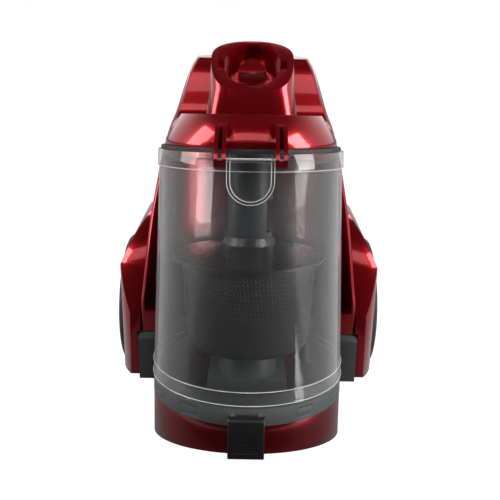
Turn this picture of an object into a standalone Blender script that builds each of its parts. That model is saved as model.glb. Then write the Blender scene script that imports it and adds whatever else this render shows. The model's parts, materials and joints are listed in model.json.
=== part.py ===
"""Canister vacuum cleaner with a clear lift-out dust bin, built as separate parts.

Frames: the machine frame has its origin on the floor below the foot of the dust bin's axis, with the
front towards -Y. The bin frame is tilted back about X, with +Z up the bin's axis.
"""
import math

import bmesh
import bpy
import numpy as np
from mathutils import Matrix, Vector

OBJECT = "canister_vacuum"
GAP = 0.0003                  # play between neighbouring parts
RUN = 0.00006                 # running clearance of a shaft in its bore
WALL = 0.0025

TILT = math.radians(10)       # the bin leans back by this much
FOOT_Z = 0.0507               # height of the bin frame's origin
CENTRE_Y = 0.08385            # middle of the machine, measured from the bin frame's origin

BIN_TOP, BIN_LOW = 0.2040, 0.0205
BIN_R_TOP, BIN_R_LOW = 0.0725, 0.0775
RING_LOW = 0.0073
CUP_TOP = 0.0070
CUP_R = 0.0773
LID_LOW, LID_RIM, LID_TOP = 0.2073, 0.2120, 0.2310
LID_R, LID_TOP_R = 0.0678, 0.0560
SHROUD_R, SHROUD_LOW, SHROUD_TOP = 0.0545, 0.0440, 0.1150
SKIRT_R, SKIRT_TOP = 0.0620, 0.1240
TUBE_R, TUBE_WALL = 0.0182, 0.0020
PORT_HALF, PORT_FRONT, PORT_BACK = 0.0318, -0.0360, 0.0280
MOUTH_TILT = math.radians(41)
MOUTH_CENTRE = (-0.0184, 0.2687)   # y and z in the bin frame
MOUTH_BORE_R = 0.0218
HINGE_Y, HINGE_Z = -0.0800, 0.2000
COVER_HINGE = (0.0772, 0.0071)     # y and z in the bin frame
COVER_KNUCKLE_R, COVER_PIN_R = 0.0017, 0.0009
LATCH_Y, LATCH_Z = -0.0822, 0.0130

CHEEK_DEPTH = 0.0160          # solid stretch behind each cheek's front edge
SHOULDER_Z, SHOULDER_DEPTH = 0.2400, 0.0060
RECESS_R = 0.0825
RECESS_WIDE_R, RECESS_STEP = 0.0922, 0.0620
SEAM_Z = 0.0857
WHEEL_Y, WHEEL_Z, WHEEL_R = 0.1450, 0.0660, 0.0660
WHEEL_IN, WHEEL_OUT = 0.1010, 0.1240
WHEEL_SIDE = 0.0973           # inner face of the fenders beside the chassis
AXLE_R = 0.0050
CASTER_X, CASTER_Y, CASTER_R, CASTER_TRAIL = 0.0820, 0.0900, 0.0120, 0.0070
MOTOR_Z, MOTOR_R = 0.0700, 0.0480
REEL_Y, REEL_Z, REEL_R = 0.1760, 0.1850, 0.0520
DECK_Z = 0.3130
BUTTON_X, BUTTON_Y = 0.0260, 0.1680
HANDLE_Y, HANDLE_Z = 0.2080, 0.3040
WINDOW_X, WINDOW_LOW, WINDOW_HIGH = 0.0500, 0.0900, 0.1500

RED = ((0.36, 0.004, 0.010), 0.18, 0.55)
BLACK = ((0.012, 0.012, 0.013), 0.35, 0.0)
CHARCOAL = ((0.035, 0.037, 0.040), 0.45, 0.0)
SMOKE = ((0.32, 0.33, 0.34), 0.10, 0.0)
RUBBER = ((0.010, 0.010, 0.010), 0.80, 0.0)
STEEL = ((0.60, 0.60, 0.62), 0.30, 1.0)
FOAM = ((0.10, 0.11, 0.12), 0.95, 0.0)

for old in list(bpy.data.objects):
    bpy.data.objects.remove(old)
parts = bpy.data.collections.new(OBJECT)
cutters = bpy.data.collections.new("cutters")
bpy.context.scene.collection.children.link(parts)
bpy.context.scene.collection.children.link(cutters)


def empty(name, location, tilt=0.0, parent=None):
    """A frame that parts hang from."""
    frame = bpy.data.objects.new(name, None)
    frame.location = location
    frame.rotation_euler = (tilt, 0, 0)
    frame.parent = parent
    parts.objects.link(frame)
    return frame


machine = empty("machine_frame", (0, -CENTRE_Y, 0))
bin_frame = empty("bin_frame", (0, 0, FOOT_Z), -TILT, machine)


def material(name, look):
    colour, roughness, metallic = look
    made = bpy.data.materials.get(name) or bpy.data.materials.new(name)
    made.use_nodes = True
    shader = made.node_tree.nodes["Principled BSDF"]
    shader.inputs["Base Color"].default_value = (*colour, 1)
    shader.inputs["Roughness"].default_value = roughness
    shader.inputs["Metallic"].default_value = metallic
    return made


def finish(obj, name, look, frame=machine):
    """Names a part, gives it its material and hangs it from its frame."""
    obj.name = name
    obj.data.name = name
    obj.data.materials.clear()
    obj.data.materials.append(material(name + "_look", look))
    obj.parent = frame
    return obj


def from_bmesh(build, name="shape"):
    """A mesh object from a bmesh that a function fills."""
    mesh = bpy.data.meshes.new(name)
    bm = bmesh.new()
    build(bm, bmesh)
    bmesh.ops.recalc_face_normals(bm, faces=bm.faces)
    bm.to_mesh(mesh)
    bm.free()
    obj = bpy.data.objects.new(name, mesh)
    parts.objects.link(obj)
    return obj


def smooth(obj, angle=35):
    obj.data.shade_smooth()
    obj.data.set_sharp_from_angle(angle=math.radians(angle))
    return obj


def face_out(obj):
    """Turns an object's faces outward."""
    bm = bmesh.new()
    bm.from_mesh(obj.data)
    bmesh.ops.recalc_face_normals(bm, faces=bm.faces)
    bm.to_mesh(obj.data)
    bm.free()
    return obj


def box(low, high, bevel=0.0, segments=1):
    """A box between two corners, with its edges rounded."""
    low, high = Vector(low), Vector(high)

    def build(bm, bmesh):
        bmesh.ops.create_cube(bm, size=1.0)
        for vert in bm.verts:
            vert.co = (low + high) / 2 + Vector(c * s for c, s in zip(vert.co, high - low))
    obj = from_bmesh(build)
    if bevel:
        rounded = obj.modifiers.new("edges", "BEVEL")
        rounded.width = bevel
        rounded.segments = segments
    return obj


def rod(radius, start, end, sides=20, end_radius=None):
    """A round bar or cone from one point to another."""
    start, end = Vector(start), Vector(end)
    along = end - start
    turn = along.to_track_quat("Z", "Y").to_matrix().to_4x4()

    def build(bm, bmesh):
        bmesh.ops.create_cone(bm, cap_ends=True, segments=sides, radius1=radius,
                              radius2=radius if end_radius is None else end_radius, depth=along.length,
                              matrix=Matrix.Translation((start + end) / 2) @ turn)
    return smooth(from_bmesh(build))


def turned(profile, steps=32, centre=(0, 0, 0), axis="Z"):
    """A closed profile of (radius, height) points turned about an axis through centre."""
    mesh = bpy.data.meshes.new("profile")
    points = [(r, 0, h) for r, h in profile]
    ring = [(i, (i + 1) % len(points)) for i in range(len(points))]
    edges = [(i, j) for i, j in ring if points[i][0] > 0 or points[j][0] > 0]
    mesh.from_pydata(points, edges, [])
    obj = bpy.data.objects.new("turned", mesh)
    parts.objects.link(obj)
    screw = obj.modifiers.new("turn", "SCREW")
    screw.steps = screw.render_steps = steps
    screw.use_merge_vertices = True
    screw.merge_threshold = 0.00001
    bake(obj)
    turn = {"Z": Matrix(), "X": Matrix.Rotation(math.pi / 2, 4, "Y"),
            "-X": Matrix.Rotation(-math.pi / 2, 4, "Y"),
            "Y": Matrix.Rotation(-math.pi / 2, 4, "X")}[axis]
    obj.data.transform(Matrix.Translation(centre) @ turn)
    return smooth(face_out(obj))


def plate(outline, low, high, axis="Z", bevel=0.0):
    """A flat outline extruded from low to high along an axis.

    The outline's points are (x, y) for Z, (y, z) for X and (x, z) for Y."""
    curve = bpy.data.curves.new("outline", "CURVE")
    curve.dimensions = "2D"
    curve.fill_mode = "BOTH"
    curve.extrude = (high - low) / 2
    spline = curve.splines.new("POLY")
    spline.points.add(len(outline) - 1)
    for point, (a, b) in zip(spline.points, outline):
        point.co = (a, b, 0, 1)
    spline.use_cyclic_u = True
    obj = bpy.data.objects.new("plate", curve)
    middle = (low + high) / 2
    place = {"Z": Matrix.Translation((0, 0, middle)),
             "X": Matrix.Translation((middle, 0, 0)) @ Matrix(((0, 0, 1, 0), (1, 0, 0, 0), (0, 1, 0, 0),
                     (0, 0, 0, 1))),
             "Y": Matrix.Translation((0, middle, 0)) @ Matrix(((1, 0, 0, 0), (0, 0, -1, 0), (0, 1, 0, 0),
                     (0, 0, 0, 1)))}
    parts.objects.link(obj)
    made = as_mesh(obj)
    made.data.transform(place[axis])
    if bevel:
        rounded = made.modifiers.new("edges", "BEVEL")
        rounded.width = bevel
    return made


def as_mesh(curve_object):
    """A curve as a closed mesh object."""
    depsgraph = bpy.context.evaluated_depsgraph_get()
    mesh = bpy.data.meshes.new_from_object(curve_object.evaluated_get(depsgraph))
    bm = bmesh.new()
    bm.from_mesh(mesh)
    bmesh.ops.remove_doubles(bm, verts=bm.verts, dist=0.00001)
    bmesh.ops.recalc_face_normals(bm, faces=bm.faces)
    bm.to_mesh(mesh)
    bm.free()
    made = bpy.data.objects.new(curve_object.name, mesh)
    made.matrix_world = curve_object.matrix_world
    parts.objects.link(made)
    bpy.data.objects.remove(curve_object)
    return made


def tube(points, radius, resolution=2):
    """A round bar bent along points."""
    curve = bpy.data.curves.new("bar", "CURVE")
    curve.dimensions = "3D"
    curve.bevel_depth = radius
    curve.bevel_resolution = resolution
    curve.use_fill_caps = True
    spline = curve.splines.new("POLY")
    spline.points.add(len(points) - 1)
    for point, place in zip(spline.points, points):
        point.co = (*place, 1)
    obj = bpy.data.objects.new("bar", curve)
    parts.objects.link(obj)
    return smooth(as_mesh(obj), 50)


def bake(obj):
    """Applies an object's modifiers."""
    depsgraph = bpy.context.evaluated_depsgraph_get()
    mesh = bpy.data.meshes.new_from_object(obj.evaluated_get(depsgraph))
    obj.modifiers.clear()
    obj.data = mesh
    return obj


def combine(obj, others, operation):
    for other in others:
        bake(other)
        step = obj.modifiers.new(operation.lower(), "BOOLEAN")
        step.operation = operation
        step.solver = "EXACT"
        step.object = other
        bake(obj)
        parts.objects.unlink(other)
        cutters.objects.link(other)
        other.hide_render = True
        other.display_type = "WIRE"
    return obj


def cut(obj, *others):
    return combine(obj, others, "DIFFERENCE")


def join(obj, *others):
    return combine(obj, others, "UNION")


def keep(obj, *others):
    return combine(obj, others, "INTERSECT")


def tilted(obj):
    """Moves a shape drawn in the bin frame to the machine frame."""
    bake(obj)
    obj.data.transform(Matrix.Translation((0, 0, FOOT_Z)) @ Matrix.Rotation(-TILT, 4, "X"))
    return obj


def loft(rings):
    """A solid through rings of points, with flat ends."""
    def build(bm, bmesh):
        loops = [[bm.verts.new(p) for p in ring] for ring in rings]
        for low, high in zip(loops, loops[1:]):
            for i in range(len(low)):
                j = (i + 1) % len(low)
                bm.faces.new((low[i], low[j], high[j], high[i]))
        bm.faces.new(list(reversed(loops[0])))
        bm.faces.new(loops[-1])
    return smooth(from_bmesh(build), 30)


# Height, half-width at the front edge, half-width at the middle, front and rear of the upper body.
BODY_SECTIONS = (
    (0.0860, 0.0945, 0.0970, 0.0360, 0.2510), (0.1050, 0.0935, 0.0965, 0.0330, 0.2540),
    (0.1180, 0.0925, 0.0960, 0.0322, 0.2553), (0.1300, 0.0912, 0.0950, 0.0355, 0.2560),
    (0.1600, 0.0885, 0.0925, 0.0445, 0.2563), (0.1900, 0.0850, 0.0890, 0.0545, 0.2530),
    (0.2150, 0.0808, 0.0860, 0.0640, 0.2460), (0.2350, 0.0772, 0.0820, 0.0780, 0.2380),
    (0.2500, 0.0745, 0.0780, 0.0980, 0.2310), (0.2620, 0.0705, 0.0735, 0.1240, 0.2250),
    (0.2850, 0.0625, 0.0660, 0.1340, 0.2120), (0.3040, 0.0565, 0.0590, 0.1425, 0.1990),
    (DECK_Z, 0.0515, 0.0535, 0.1500, 0.1890),
)


def body_ring(height, front_half, middle_half, front, rear, grow=0.0):
    """One outline of the upper body: straight front, bowed sides and a rounded back."""
    corner = 0.0020
    front_half, middle_half, front, rear = front_half + grow, middle_half + grow, front - grow, rear + grow
    shoulder = front + 0.42 * (rear - front)
    side = [(front_half - corner, front), (front_half, front + corner)]
    for share in (0.35, 0.7):
        bow = math.sin(share * math.pi / 2)
        side.append((front_half + (middle_half - front_half) * bow,
                     front + corner + (shoulder - front - corner) * share))
    for step in range(7):
        angle = step / 6 * math.pi / 2
        side.append((middle_half * math.cos(angle) ** 0.72,
                     shoulder + (rear - shoulder) * math.sin(angle) ** 0.85))
    mirrored = [(-x, y) for x, y in reversed(side[:-1])]
    return [(x, y, height) for x, y in side + mirrored]


def body_solid(grow=0.0, low=0.0, high=0.0, sections=BODY_SECTIONS):
    """The upper body's outer form, grown on all sides and lengthened at its ends."""
    rings = [body_ring(*section, grow=grow) for section in sections]
    rings[0] = [(x, y, z - low) for x, y, z in rings[0]]
    rings[-1] = [(x, y, z + high) for x, y, z in rings[-1]]
    return loft(rings)


def recess(grow=0.0):
    """The space that the bin lifts out of: wide below, narrow above, with a step near the foot."""
    wide, narrow = RECESS_WIDE_R + grow, RECESS_R + grow
    profile = [(0, 0.40), (narrow, 0.40), (narrow, 0.190), (wide, RECESS_STEP - grow),
               (narrow, RECESS_STEP - grow - 0.0005),
               (narrow, -0.10), (0, -0.10)]
    return tilted(turned(profile, 48))


def main_body_shell():
    shell = body_solid()
    room = body_solid(-WALL, low=0.02, high=-WALL, sections=[
        (z, edge, middle, front + (CHEEK_DEPTH if z < SHOULDER_Z else SHOULDER_DEPTH), rear)
        for z, edge, middle, front, rear in BODY_SECTIONS[:9:2] + BODY_SECTIONS[9:11] + BODY_SECTIONS[12:]])
    cut(room, recess(WALL))
    cut(shell, recess(), room)
    for side in (-1, 1):
        x = side * BUTTON_X
        cut(shell, box((x - 0.0103, BUTTON_Y - 0.0093, 0.300), (x + 0.0103, BUTTON_Y + 0.0093, 0.330)))
    cut(shell, rod(0.0030 + 2 * RUN, (0, BUTTON_Y, 0.300), (0, BUTTON_Y, 0.330)))
    cut(shell, box((-WINDOW_X, 0.236, WINDOW_LOW), (WINDOW_X, 0.270, WINDOW_HIGH)))
    cut(shell, rod(0.0090, (0, 0.240, 0.205), (0, 0.262, 0.205)))
    cut(shell, box((-0.036, 0.070, 0.060), (0.036, 0.112, 0.110)))
    for side in (-1, 1):
        x = side * 0.0290
        lug = plate([(0.1900, 0.2980), (0.2140, 0.2680), (0.2140, 0.3060), (0.2105, 0.3095),
                     (0.2040, 0.3095)],
                    x - 0.0035, x + 0.0035, "X")
        join(shell, lug)
        cut(shell, rod(0.0020 + RUN, (x - 0.006, HANDLE_Y, HANDLE_Z), (x + 0.006, HANDLE_Y, HANDLE_Z),
                       16))
    return finish(smooth(shell, 30), "main_body_shell", RED)


def exhaust_cover():
    """A louvred patch of the rear wall, hinged along its foot."""
    cover = body_solid()
    keep(cover, box((-WINDOW_X + GAP, 0.236, WINDOW_LOW + GAP),
                    (WINDOW_X - GAP, 0.270, WINDOW_HIGH - GAP)))
    cut(cover, body_solid(-WALL))
    for row in range(5):
        low = WINDOW_LOW + 0.009 + row * 0.0095
        cut(cover, box((-0.038, 0.230, low), (0.038, 0.270, low + 0.0045)))
    return finish(smooth(cover, 30), "exhaust_cover", CHARCOAL)


def exhaust_filter():
    """A pleated block behind the cover."""
    pleats = 9
    half, front, back = 0.044, 0.222, 0.236
    pitch = 2 * half / pleats
    ridge = [(-half + i * pitch / 2, back if i % 2 else back - 0.004) for i in range(2 * pleats + 1)]
    block = plate(ridge + [(half, front), (-half, front)], WINDOW_LOW + 0.003, WINDOW_HIGH - 0.003, "Z")
    return finish(block, "exhaust_filter", FOAM)


def lower_chassis():
    """The black tub, with two arms that reach forward beside the bin."""
    levels = ((0.014, 0.082, 0.118, 0.230), (0.022, 0.090, 0.115, 0.240), (0.050, 0.0955, 0.115, 0.2465),
              (SEAM_Z - GAP, 0.0968, 0.115, 0.2508))

    def tub(grow, low, high):
        rings = [body_ring(z, half + grow, half + grow, front - grow, rear + grow) for z, half, front,
                 rear in levels]
        rings[0] = [(x, y, z + low) for x, y, z in rings[0]]
        rings[-1] = [(x, y, z + high) for x, y, z in rings[-1]]
        return loft(rings)
    chassis = tub(0, 0, 0)
    for side in (-1, 1):
        outline = [(0.0340, 0.0395), (0.0340, 0.0790), (0.0380, SEAM_Z - GAP), (0.1200, SEAM_Z - GAP),
                   (0.1200, 0.0380), (0.0355, 0.0380)]
        low, high = sorted((side * 0.0600, side * 0.0968))
        join(chassis, plate(outline, low, high, "X"))
    cut(chassis, recess(), tub(-WALL, WALL, 0.01))
    cut(chassis, box((-0.0600, 0.060, 0.0200), (0.0600, 0.1149, 0.0900)))
    for side in (-1, 1):
        cut(chassis, rod(0.0040 + RUN, (side * CASTER_X, CASTER_Y, 0.030),
                         (side * CASTER_X, CASTER_Y, 0.062), 20))
        join(chassis, rod(0.0095, (side * 0.0850, WHEEL_Y, WHEEL_Z), (side * 0.0990, WHEEL_Y, WHEEL_Z)))
        cut(chassis, rod(AXLE_R + GAP, (side * 0.080, WHEEL_Y, WHEEL_Z),
                         (side * 0.110, WHEEL_Y, WHEEL_Z)))
    cut(chassis, box((-0.034, 0.110, 0.0470), (0.034, 0.122, 0.0900)))
    return finish(smooth(chassis, 30), "lower_chassis", CHARCOAL)


def fender(side):
    """A red side panel that covers the front and top of a rear wheel."""
    profile = [(0.0365, 0.0420), (0.0340, 0.1045), (0.0560, 0.1500), (0.0800, 0.1740), (0.1000, 0.1800),
               (0.1350, 0.1760), (0.1700, 0.1620), (0.2000, 0.1380), (0.2200, 0.1080), (0.2260, 0.0800),
               (0.2150, 0.0700), (0.0700, 0.0380)]
    front_view = [(0.080, 0.185), (0.0895, 0.182), (0.0965, 0.173), (0.1068, 0.158), (0.1180, 0.131),
                  (0.1216, 0.105),
                  (0.1216, 0.070), (0.1150, 0.030), (0.080, 0.030)]
    plan = [(0.080, 0.030), (0.1000, 0.030), (0.1114, 0.045), (0.1176, 0.070), (0.1211, 0.105),
            (0.1221, 0.150),
            (0.1180, 0.190), (0.1100, 0.230), (0.080, 0.230)]

    def solid(inset):
        centre = (0.130, 0.110)
        shrink = [(y - inset * np.sign(y - centre[0]), z - inset * np.sign(z - centre[1]))
                for y, z in profile]
        made = plate(shrink, 0.060, 0.130, "X")
        keep(made, plate([(x - inset if x > 0.081 else x, z) for x, z in front_view], 0.000, 0.300, "Y"))
        keep(made, plate([(x - inset if x > 0.081 else x, y) for x, y in plan], 0.000, 0.300, "Z"))
        return made
    panel = solid(0)
    cut(panel, solid(WALL))
    cut(panel, rod(WHEEL_R + 0.0035, (0.0985, WHEEL_Y, WHEEL_Z), (0.140, WHEEL_Y, WHEEL_Z), 48))
    ahead = body_solid(GAP, low=0.10)
    ahead.data.transform(Matrix.Translation((0, -0.004, 0)))
    cut(panel, body_solid(GAP, low=0.10), ahead, box((0.05, 0.0, 0.0), (WHEEL_SIDE, 0.30, SEAM_Z + GAP)))
    cut(panel, rod(0.0098, (0.09, WHEEL_Y, WHEEL_Z), (0.0995, WHEEL_Y, WHEEL_Z)))
    if side < 0:
        panel.data.transform(Matrix.Scale(-1, 4, (1, 0, 0)))
        panel.data.flip_normals()
    return finish(smooth(panel, 30), "fender_right" if side > 0 else "fender_left", RED)


def rear_wheel(side):
    """Tyre, wheel, hub cap and stub axle on one side."""
    word = "right" if side > 0 else "left"
    centre = (0, WHEEL_Y, WHEEL_Z)
    axis = "X" if side > 0 else "-X"
    inner, outer = WHEEL_IN, WHEEL_OUT
    tyre = turned([(0.0560, outer - 0.003), (0.0610, outer), (WHEEL_R, outer - 0.005),
                   (WHEEL_R, inner + 0.005),
                   (0.0610, inner), (0.0560, inner + 0.003)], 32, centre, axis)
    finish(tyre, "tyre_" + word, RUBBER)
    bore = AXLE_R + RUN
    rim = turned([(bore, outer - 0.002), (0.0185, outer - 0.002), (0.0190, outer - 0.006),
                  (0.0480, outer - 0.007),
                  (0.0520, outer - 0.0005), (0.0557, outer - 0.0035), (0.0557, inner + 0.0035),
                  (0.0520, inner + 0.002),
                  (0.0480, inner + 0.012), (0.0150, inner + 0.012), (0.0120, inner), (bore, inner)], 32,
                 centre, axis)
    finish(rim, "wheel_" + word, CHARCOAL)
    cap = turned([(0, outer + 0.0020), (0.010, outer + 0.0014), (0.0180, outer - 0.0005),
                  (0.0180, outer - 0.0017), (0, outer - 0.0017)],
                 24, centre, axis)
    finish(cap, "hub_cap_" + word, RED)
    finish(rod(AXLE_R, (side * 0.0860, WHEEL_Y, WHEEL_Z), (side * (outer - 0.0030), WHEEL_Y, WHEEL_Z),
               24), "wheel_axle_" + word, STEEL)


def caster(side):
    word = "right" if side > 0 else "left"
    x, wheel_y = side * CASTER_X, CASTER_Y + CASTER_TRAIL
    fork = rod(0.0100, (x, CASTER_Y, 0.0290), (x, CASTER_Y, 0.0350), 20)
    join(fork, rod(0.0040, (x, CASTER_Y, 0.0330), (x, CASTER_Y, 0.0600), 16))
    join(fork, box((x - 0.0090, CASTER_Y - 0.004, 0.0270), (x + 0.0090, wheel_y + 0.005, 0.0320)))
    for cheek in (-1, 1):
        low, high = sorted((x + cheek * 0.0066, x + cheek * 0.0088))
        outline = [(wheel_y - 0.005, 0.0070), (wheel_y + 0.005, 0.0070), (wheel_y + 0.005, 0.0290),
                   (CASTER_Y - 0.003, 0.0290)]
        join(fork, plate(outline, low, high, "X"))
    cut(fork, rod(0.0020 + GAP, (x - 0.012, wheel_y, CASTER_R), (x + 0.012, wheel_y, CASTER_R), 16))
    finish(smooth(fork), "caster_fork_" + word, BLACK)
    half = 0.0058
    roller = turned([(0.0020 + RUN, half), (0.0105, half), (CASTER_R, half - 0.0015),
                     (CASTER_R, 0.0015 - half), (0.0105, -half), (0.0020 + RUN, -half)],
                    20, (x, wheel_y, CASTER_R), "X")
    finish(roller, "caster_wheel_" + word, RUBBER)
    finish(rod(0.0020, (x - 0.0092, wheel_y, CASTER_R), (x + 0.0092, wheel_y, CASTER_R), 20),
           "caster_pin_" + word, STEEL)


def motor():
    """Fan housing, motor can, rubber mounts, armature and impeller on one axis along Y."""
    def at(y):
        return (0, y, MOTOR_Z)
    front = turned([(0.0165, 0.0), (MOTOR_R - 0.003, 0.0), (MOTOR_R, 0.003), (MOTOR_R, 0.030),
                    (0.0450, 0.030), (0.0450, 0.0025), (0.0165, 0.0025)][::-1],
                   20, at(0.1210), "Y")
    finish(front, "fan_housing", STEEL)
    can = turned([(0.0080, 0.060), (0.0360, 0.060), (0.0400, 0.056), (0.0400, 0.003), (0.0475, 0.003),
                  (0.0475, 0.0), (0.0370, 0.0), (0.0370, 0.0570), (0.0080, 0.0570)],
                 20, at(0.1513), "Y")
    finish(can, "motor_can", STEEL)
    impeller = turned([(0.0040 + GAP, 0.018), (0.0120, 0.018), (0.0420, 0.0135), (0.0420, 0.0035),
                       (0.0150, 0.0035), (0.0150, 0.0020), (0.0040 + GAP, 0.0020)][::-1],
                      20, at(0.1270), "Y")
    finish(impeller, "fan_impeller", STEEL)
    armature = turned([(0, 0.075), (0.0040, 0.075), (0.0040, 0.062), (0.0240, 0.060), (0.0240, 0.028),
                       (0.0040, 0.026), (0.0040, 0.0), (0, 0.0)],
                      20, at(0.1280), "Y")
    finish(armature, "motor_armature", STEEL)
    front_mount = turned([(MOTOR_R + GAP, 0.008), (0.0525, 0.008), (0.0525, 0.0), (MOTOR_R + GAP, 0.0)],
                         20, at(0.1300), "Y")
    finish(front_mount, "motor_mount_front", RUBBER)
    rear_mount = turned([(0.0400 + GAP, 0.008), (0.0460, 0.008), (0.0460, 0.0), (0.0400 + GAP, 0.0)], 20,
                        at(0.1930), "Y")
    finish(rear_mount, "motor_mount_rear", RUBBER)


def duct():
    """The intake duct to the motor, and the soft seal that meets the bin."""
    channel = box((-0.0330, 0.0860, 0.0480), (0.0330, 0.1200, 0.0840), 0.0015)
    bake(channel)
    cut(channel, box((-0.0310, 0.0800, 0.0500), (0.0310, 0.1180, 0.0620)),
        box((-0.0310, 0.1000, 0.0500), (0.0310, 0.1180, 0.0820)))
    cut(channel, rod(0.0150, (0, 0.110, MOTOR_Z - 0.002), (0, 0.130, MOTOR_Z - 0.002)))
    cut(channel, tilted(box((-0.05, 0.040, -0.05), (0.05, 0.0835, 0.100))))
    finish(channel, "intake_duct", BLACK)
    seal = box((-0.0310, 0.0700, 0.0100), (0.0310, 0.0832, 0.0208))
    cut(seal, box((-0.0285, 0.0650, 0.0120), (0.0285, 0.0860, 0.0188)))
    cut(seal, rod(0.0800, (0, 0, -0.02), (0, 0, 0.05), 64))
    finish(seal, "duct_seal", RUBBER, bin_frame)


def cord_reel():
    axis_y, axis_z = REEL_Y, REEL_Z
    drum = turned([(0.0070, 0.0240), (REEL_R, 0.0240), (REEL_R, 0.0220), (0.0260, 0.0220),
                   (0.0260, -0.0220), (REEL_R, -0.0220),
                   (REEL_R, -0.0240), (0.0070, -0.0240)], 24, (0, axis_y, axis_z), "X")
    finish(drum, "cord_reel", CHARCOAL)
    axle = turned([(0, 0.0330), (0.0070 - 2 * RUN, 0.0330), (0.0070 - 2 * RUN, -0.0300), (0, -0.0300)],
                  32, (0, axis_y, axis_z), "X")
    finish(axle, "reel_axle", STEEL)
    for side in (-1, 1):
        x = side * 0.0275
        outline = [(axis_y - 0.020, 0.1240), (axis_y + 0.020, 0.1240), (axis_y + 0.012, axis_z + 0.012),
                   (axis_y - 0.012, axis_z + 0.012)]
        bracket = plate(outline, min(x, x + side * 0.002), max(x, x + side * 0.002), "X")
        foot_low, foot_high = sorted((side * 0.0275, side * 0.0400))
        join(bracket, box((foot_low, axis_y - 0.020, 0.1220), (foot_high, axis_y + 0.020, 0.1245)))
        cut(bracket, rod(0.0070 + GAP, (x - 0.005, axis_y, axis_z), (x + 0.005, axis_y, axis_z), 32))
        finish(bracket, "reel_bracket_" + ("right" if side > 0 else "left"), BLACK)
    case = turned([(0, 0.0500), (0.0300, 0.0500), (0.0300, 0.0334), (0.0280, 0.0334), (0.0280, 0.0480),
                   (0, 0.0480)],
                  20, (0, axis_y, axis_z), "X")
    finish(case, "rewind_spring_case", CHARCOAL)
    outlet = turned([(0.0045, 0.0), (0.0087, 0.0), (0.0087, 0.0150), (0.0125, 0.0150), (0.0110, 0.0180),
                     (0.0045, 0.0180)][::-1],
                    16, (0, 0.2395, 0.205), "Y")
    finish(outlet, "cord_outlet", BLACK)


def deck():
    """Power and rewind buttons on their springs and tray, and the suction dial."""
    for side, name in ((-1, "power_button"), (1, "rewind_button")):
        x = side * BUTTON_X
        cap = box((x - 0.0100, BUTTON_Y - 0.0090, 0.3010), (x + 0.0100, BUTTON_Y + 0.0090, 0.3155),
                  0.0012, 2)
        join(cap, box((x - 0.0120, BUTTON_Y - 0.0110, 0.3010), (x + 0.0120, BUTTON_Y + 0.0110, 0.3030)))
        finish(cap, name, BLACK)
        turns, count = 4, 29
        coil = [(x + 0.0042 * math.cos(a), BUTTON_Y + 0.0042 * math.sin(a),
                 0.2895 + 0.0108 * i / (count - 1))
                for i in range(count) for a in (2 * math.pi * turns * i / (count - 1),)]
        finish(tube(coil, 0.0006, 0), name + "_spring", STEEL)
    tray = box((-0.0400, BUTTON_Y - 0.012, 0.2860), (0.0400, BUTTON_Y + 0.012, 0.2886))
    cut(tray, rod(0.0030 + GAP, (0, BUTTON_Y, 0.280), (0, BUTTON_Y, 0.295)))
    finish(tray, "button_tray", BLACK)
    dial = turned([(0, 0.3200), (0.0095, 0.3200), (0.0105, 0.3190), (0.0110, DECK_Z + GAP),
                   (0.0030, DECK_Z + GAP), (0.0030, 0.2870), (0, 0.2870)], 32, (0, BUTTON_Y, 0))
    join(dial, box((-0.0008, BUTTON_Y + 0.002, 0.3190), (0.0008, BUTTON_Y + 0.0090, 0.3206)))
    finish(dial, "suction_dial", CHARCOAL)


def carry_handle():
    """A bail that folds down against the sloping back."""
    slope = math.radians(-52.6)
    reach, bend = 0.056, 0.010
    along, out = Vector((0, math.cos(slope), math.sin(slope))), Vector((0, -math.sin(slope),
            math.cos(slope)))
    pivot = Vector((0, HANDLE_Y, HANDLE_Z))
    corner = [(bend * (1 - math.cos(a)), bend * math.sin(a)) for a in (0, 0.4, 0.8, 1.2, math.pi / 2)]
    half = [Vector((0.0385 - dx, 0, 0)) + pivot + along * (reach - bend + dy) for dx, dy in corner]
    path = [Vector((0.0385, 0, 0)) + pivot - along * 0.004] + half
    path += [Vector((-p.x, p.y, p.z)) for p in reversed(path)]
    bail = tube(path, 0.0045, 2)
    for side in (-1, 1):
        cut(bail, rod(0.0020 + GAP, (side * 0.0330, HANDLE_Y, HANDLE_Z),
                      (side * 0.0450, HANDLE_Y, HANDLE_Z), 16))
        finish(rod(0.0020, (side * 0.0240, HANDLE_Y, HANDLE_Z), (side * 0.0440, HANDLE_Y, HANDLE_Z), 20),
               "handle_pin_" + ("right" if side > 0 else "left"), STEEL)
    finish(bail, "carry_handle", BLACK)


def loop_outline(half, top, low):
    """A U outline in x and z: square above, half round below."""
    turn = [math.pi + math.pi * i / 10 for i in range(11)]
    bow = [(half * math.cos(a), low + half + half * math.sin(a)) for a in turn]
    return [(half, top), (-half, top)] + bow


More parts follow.
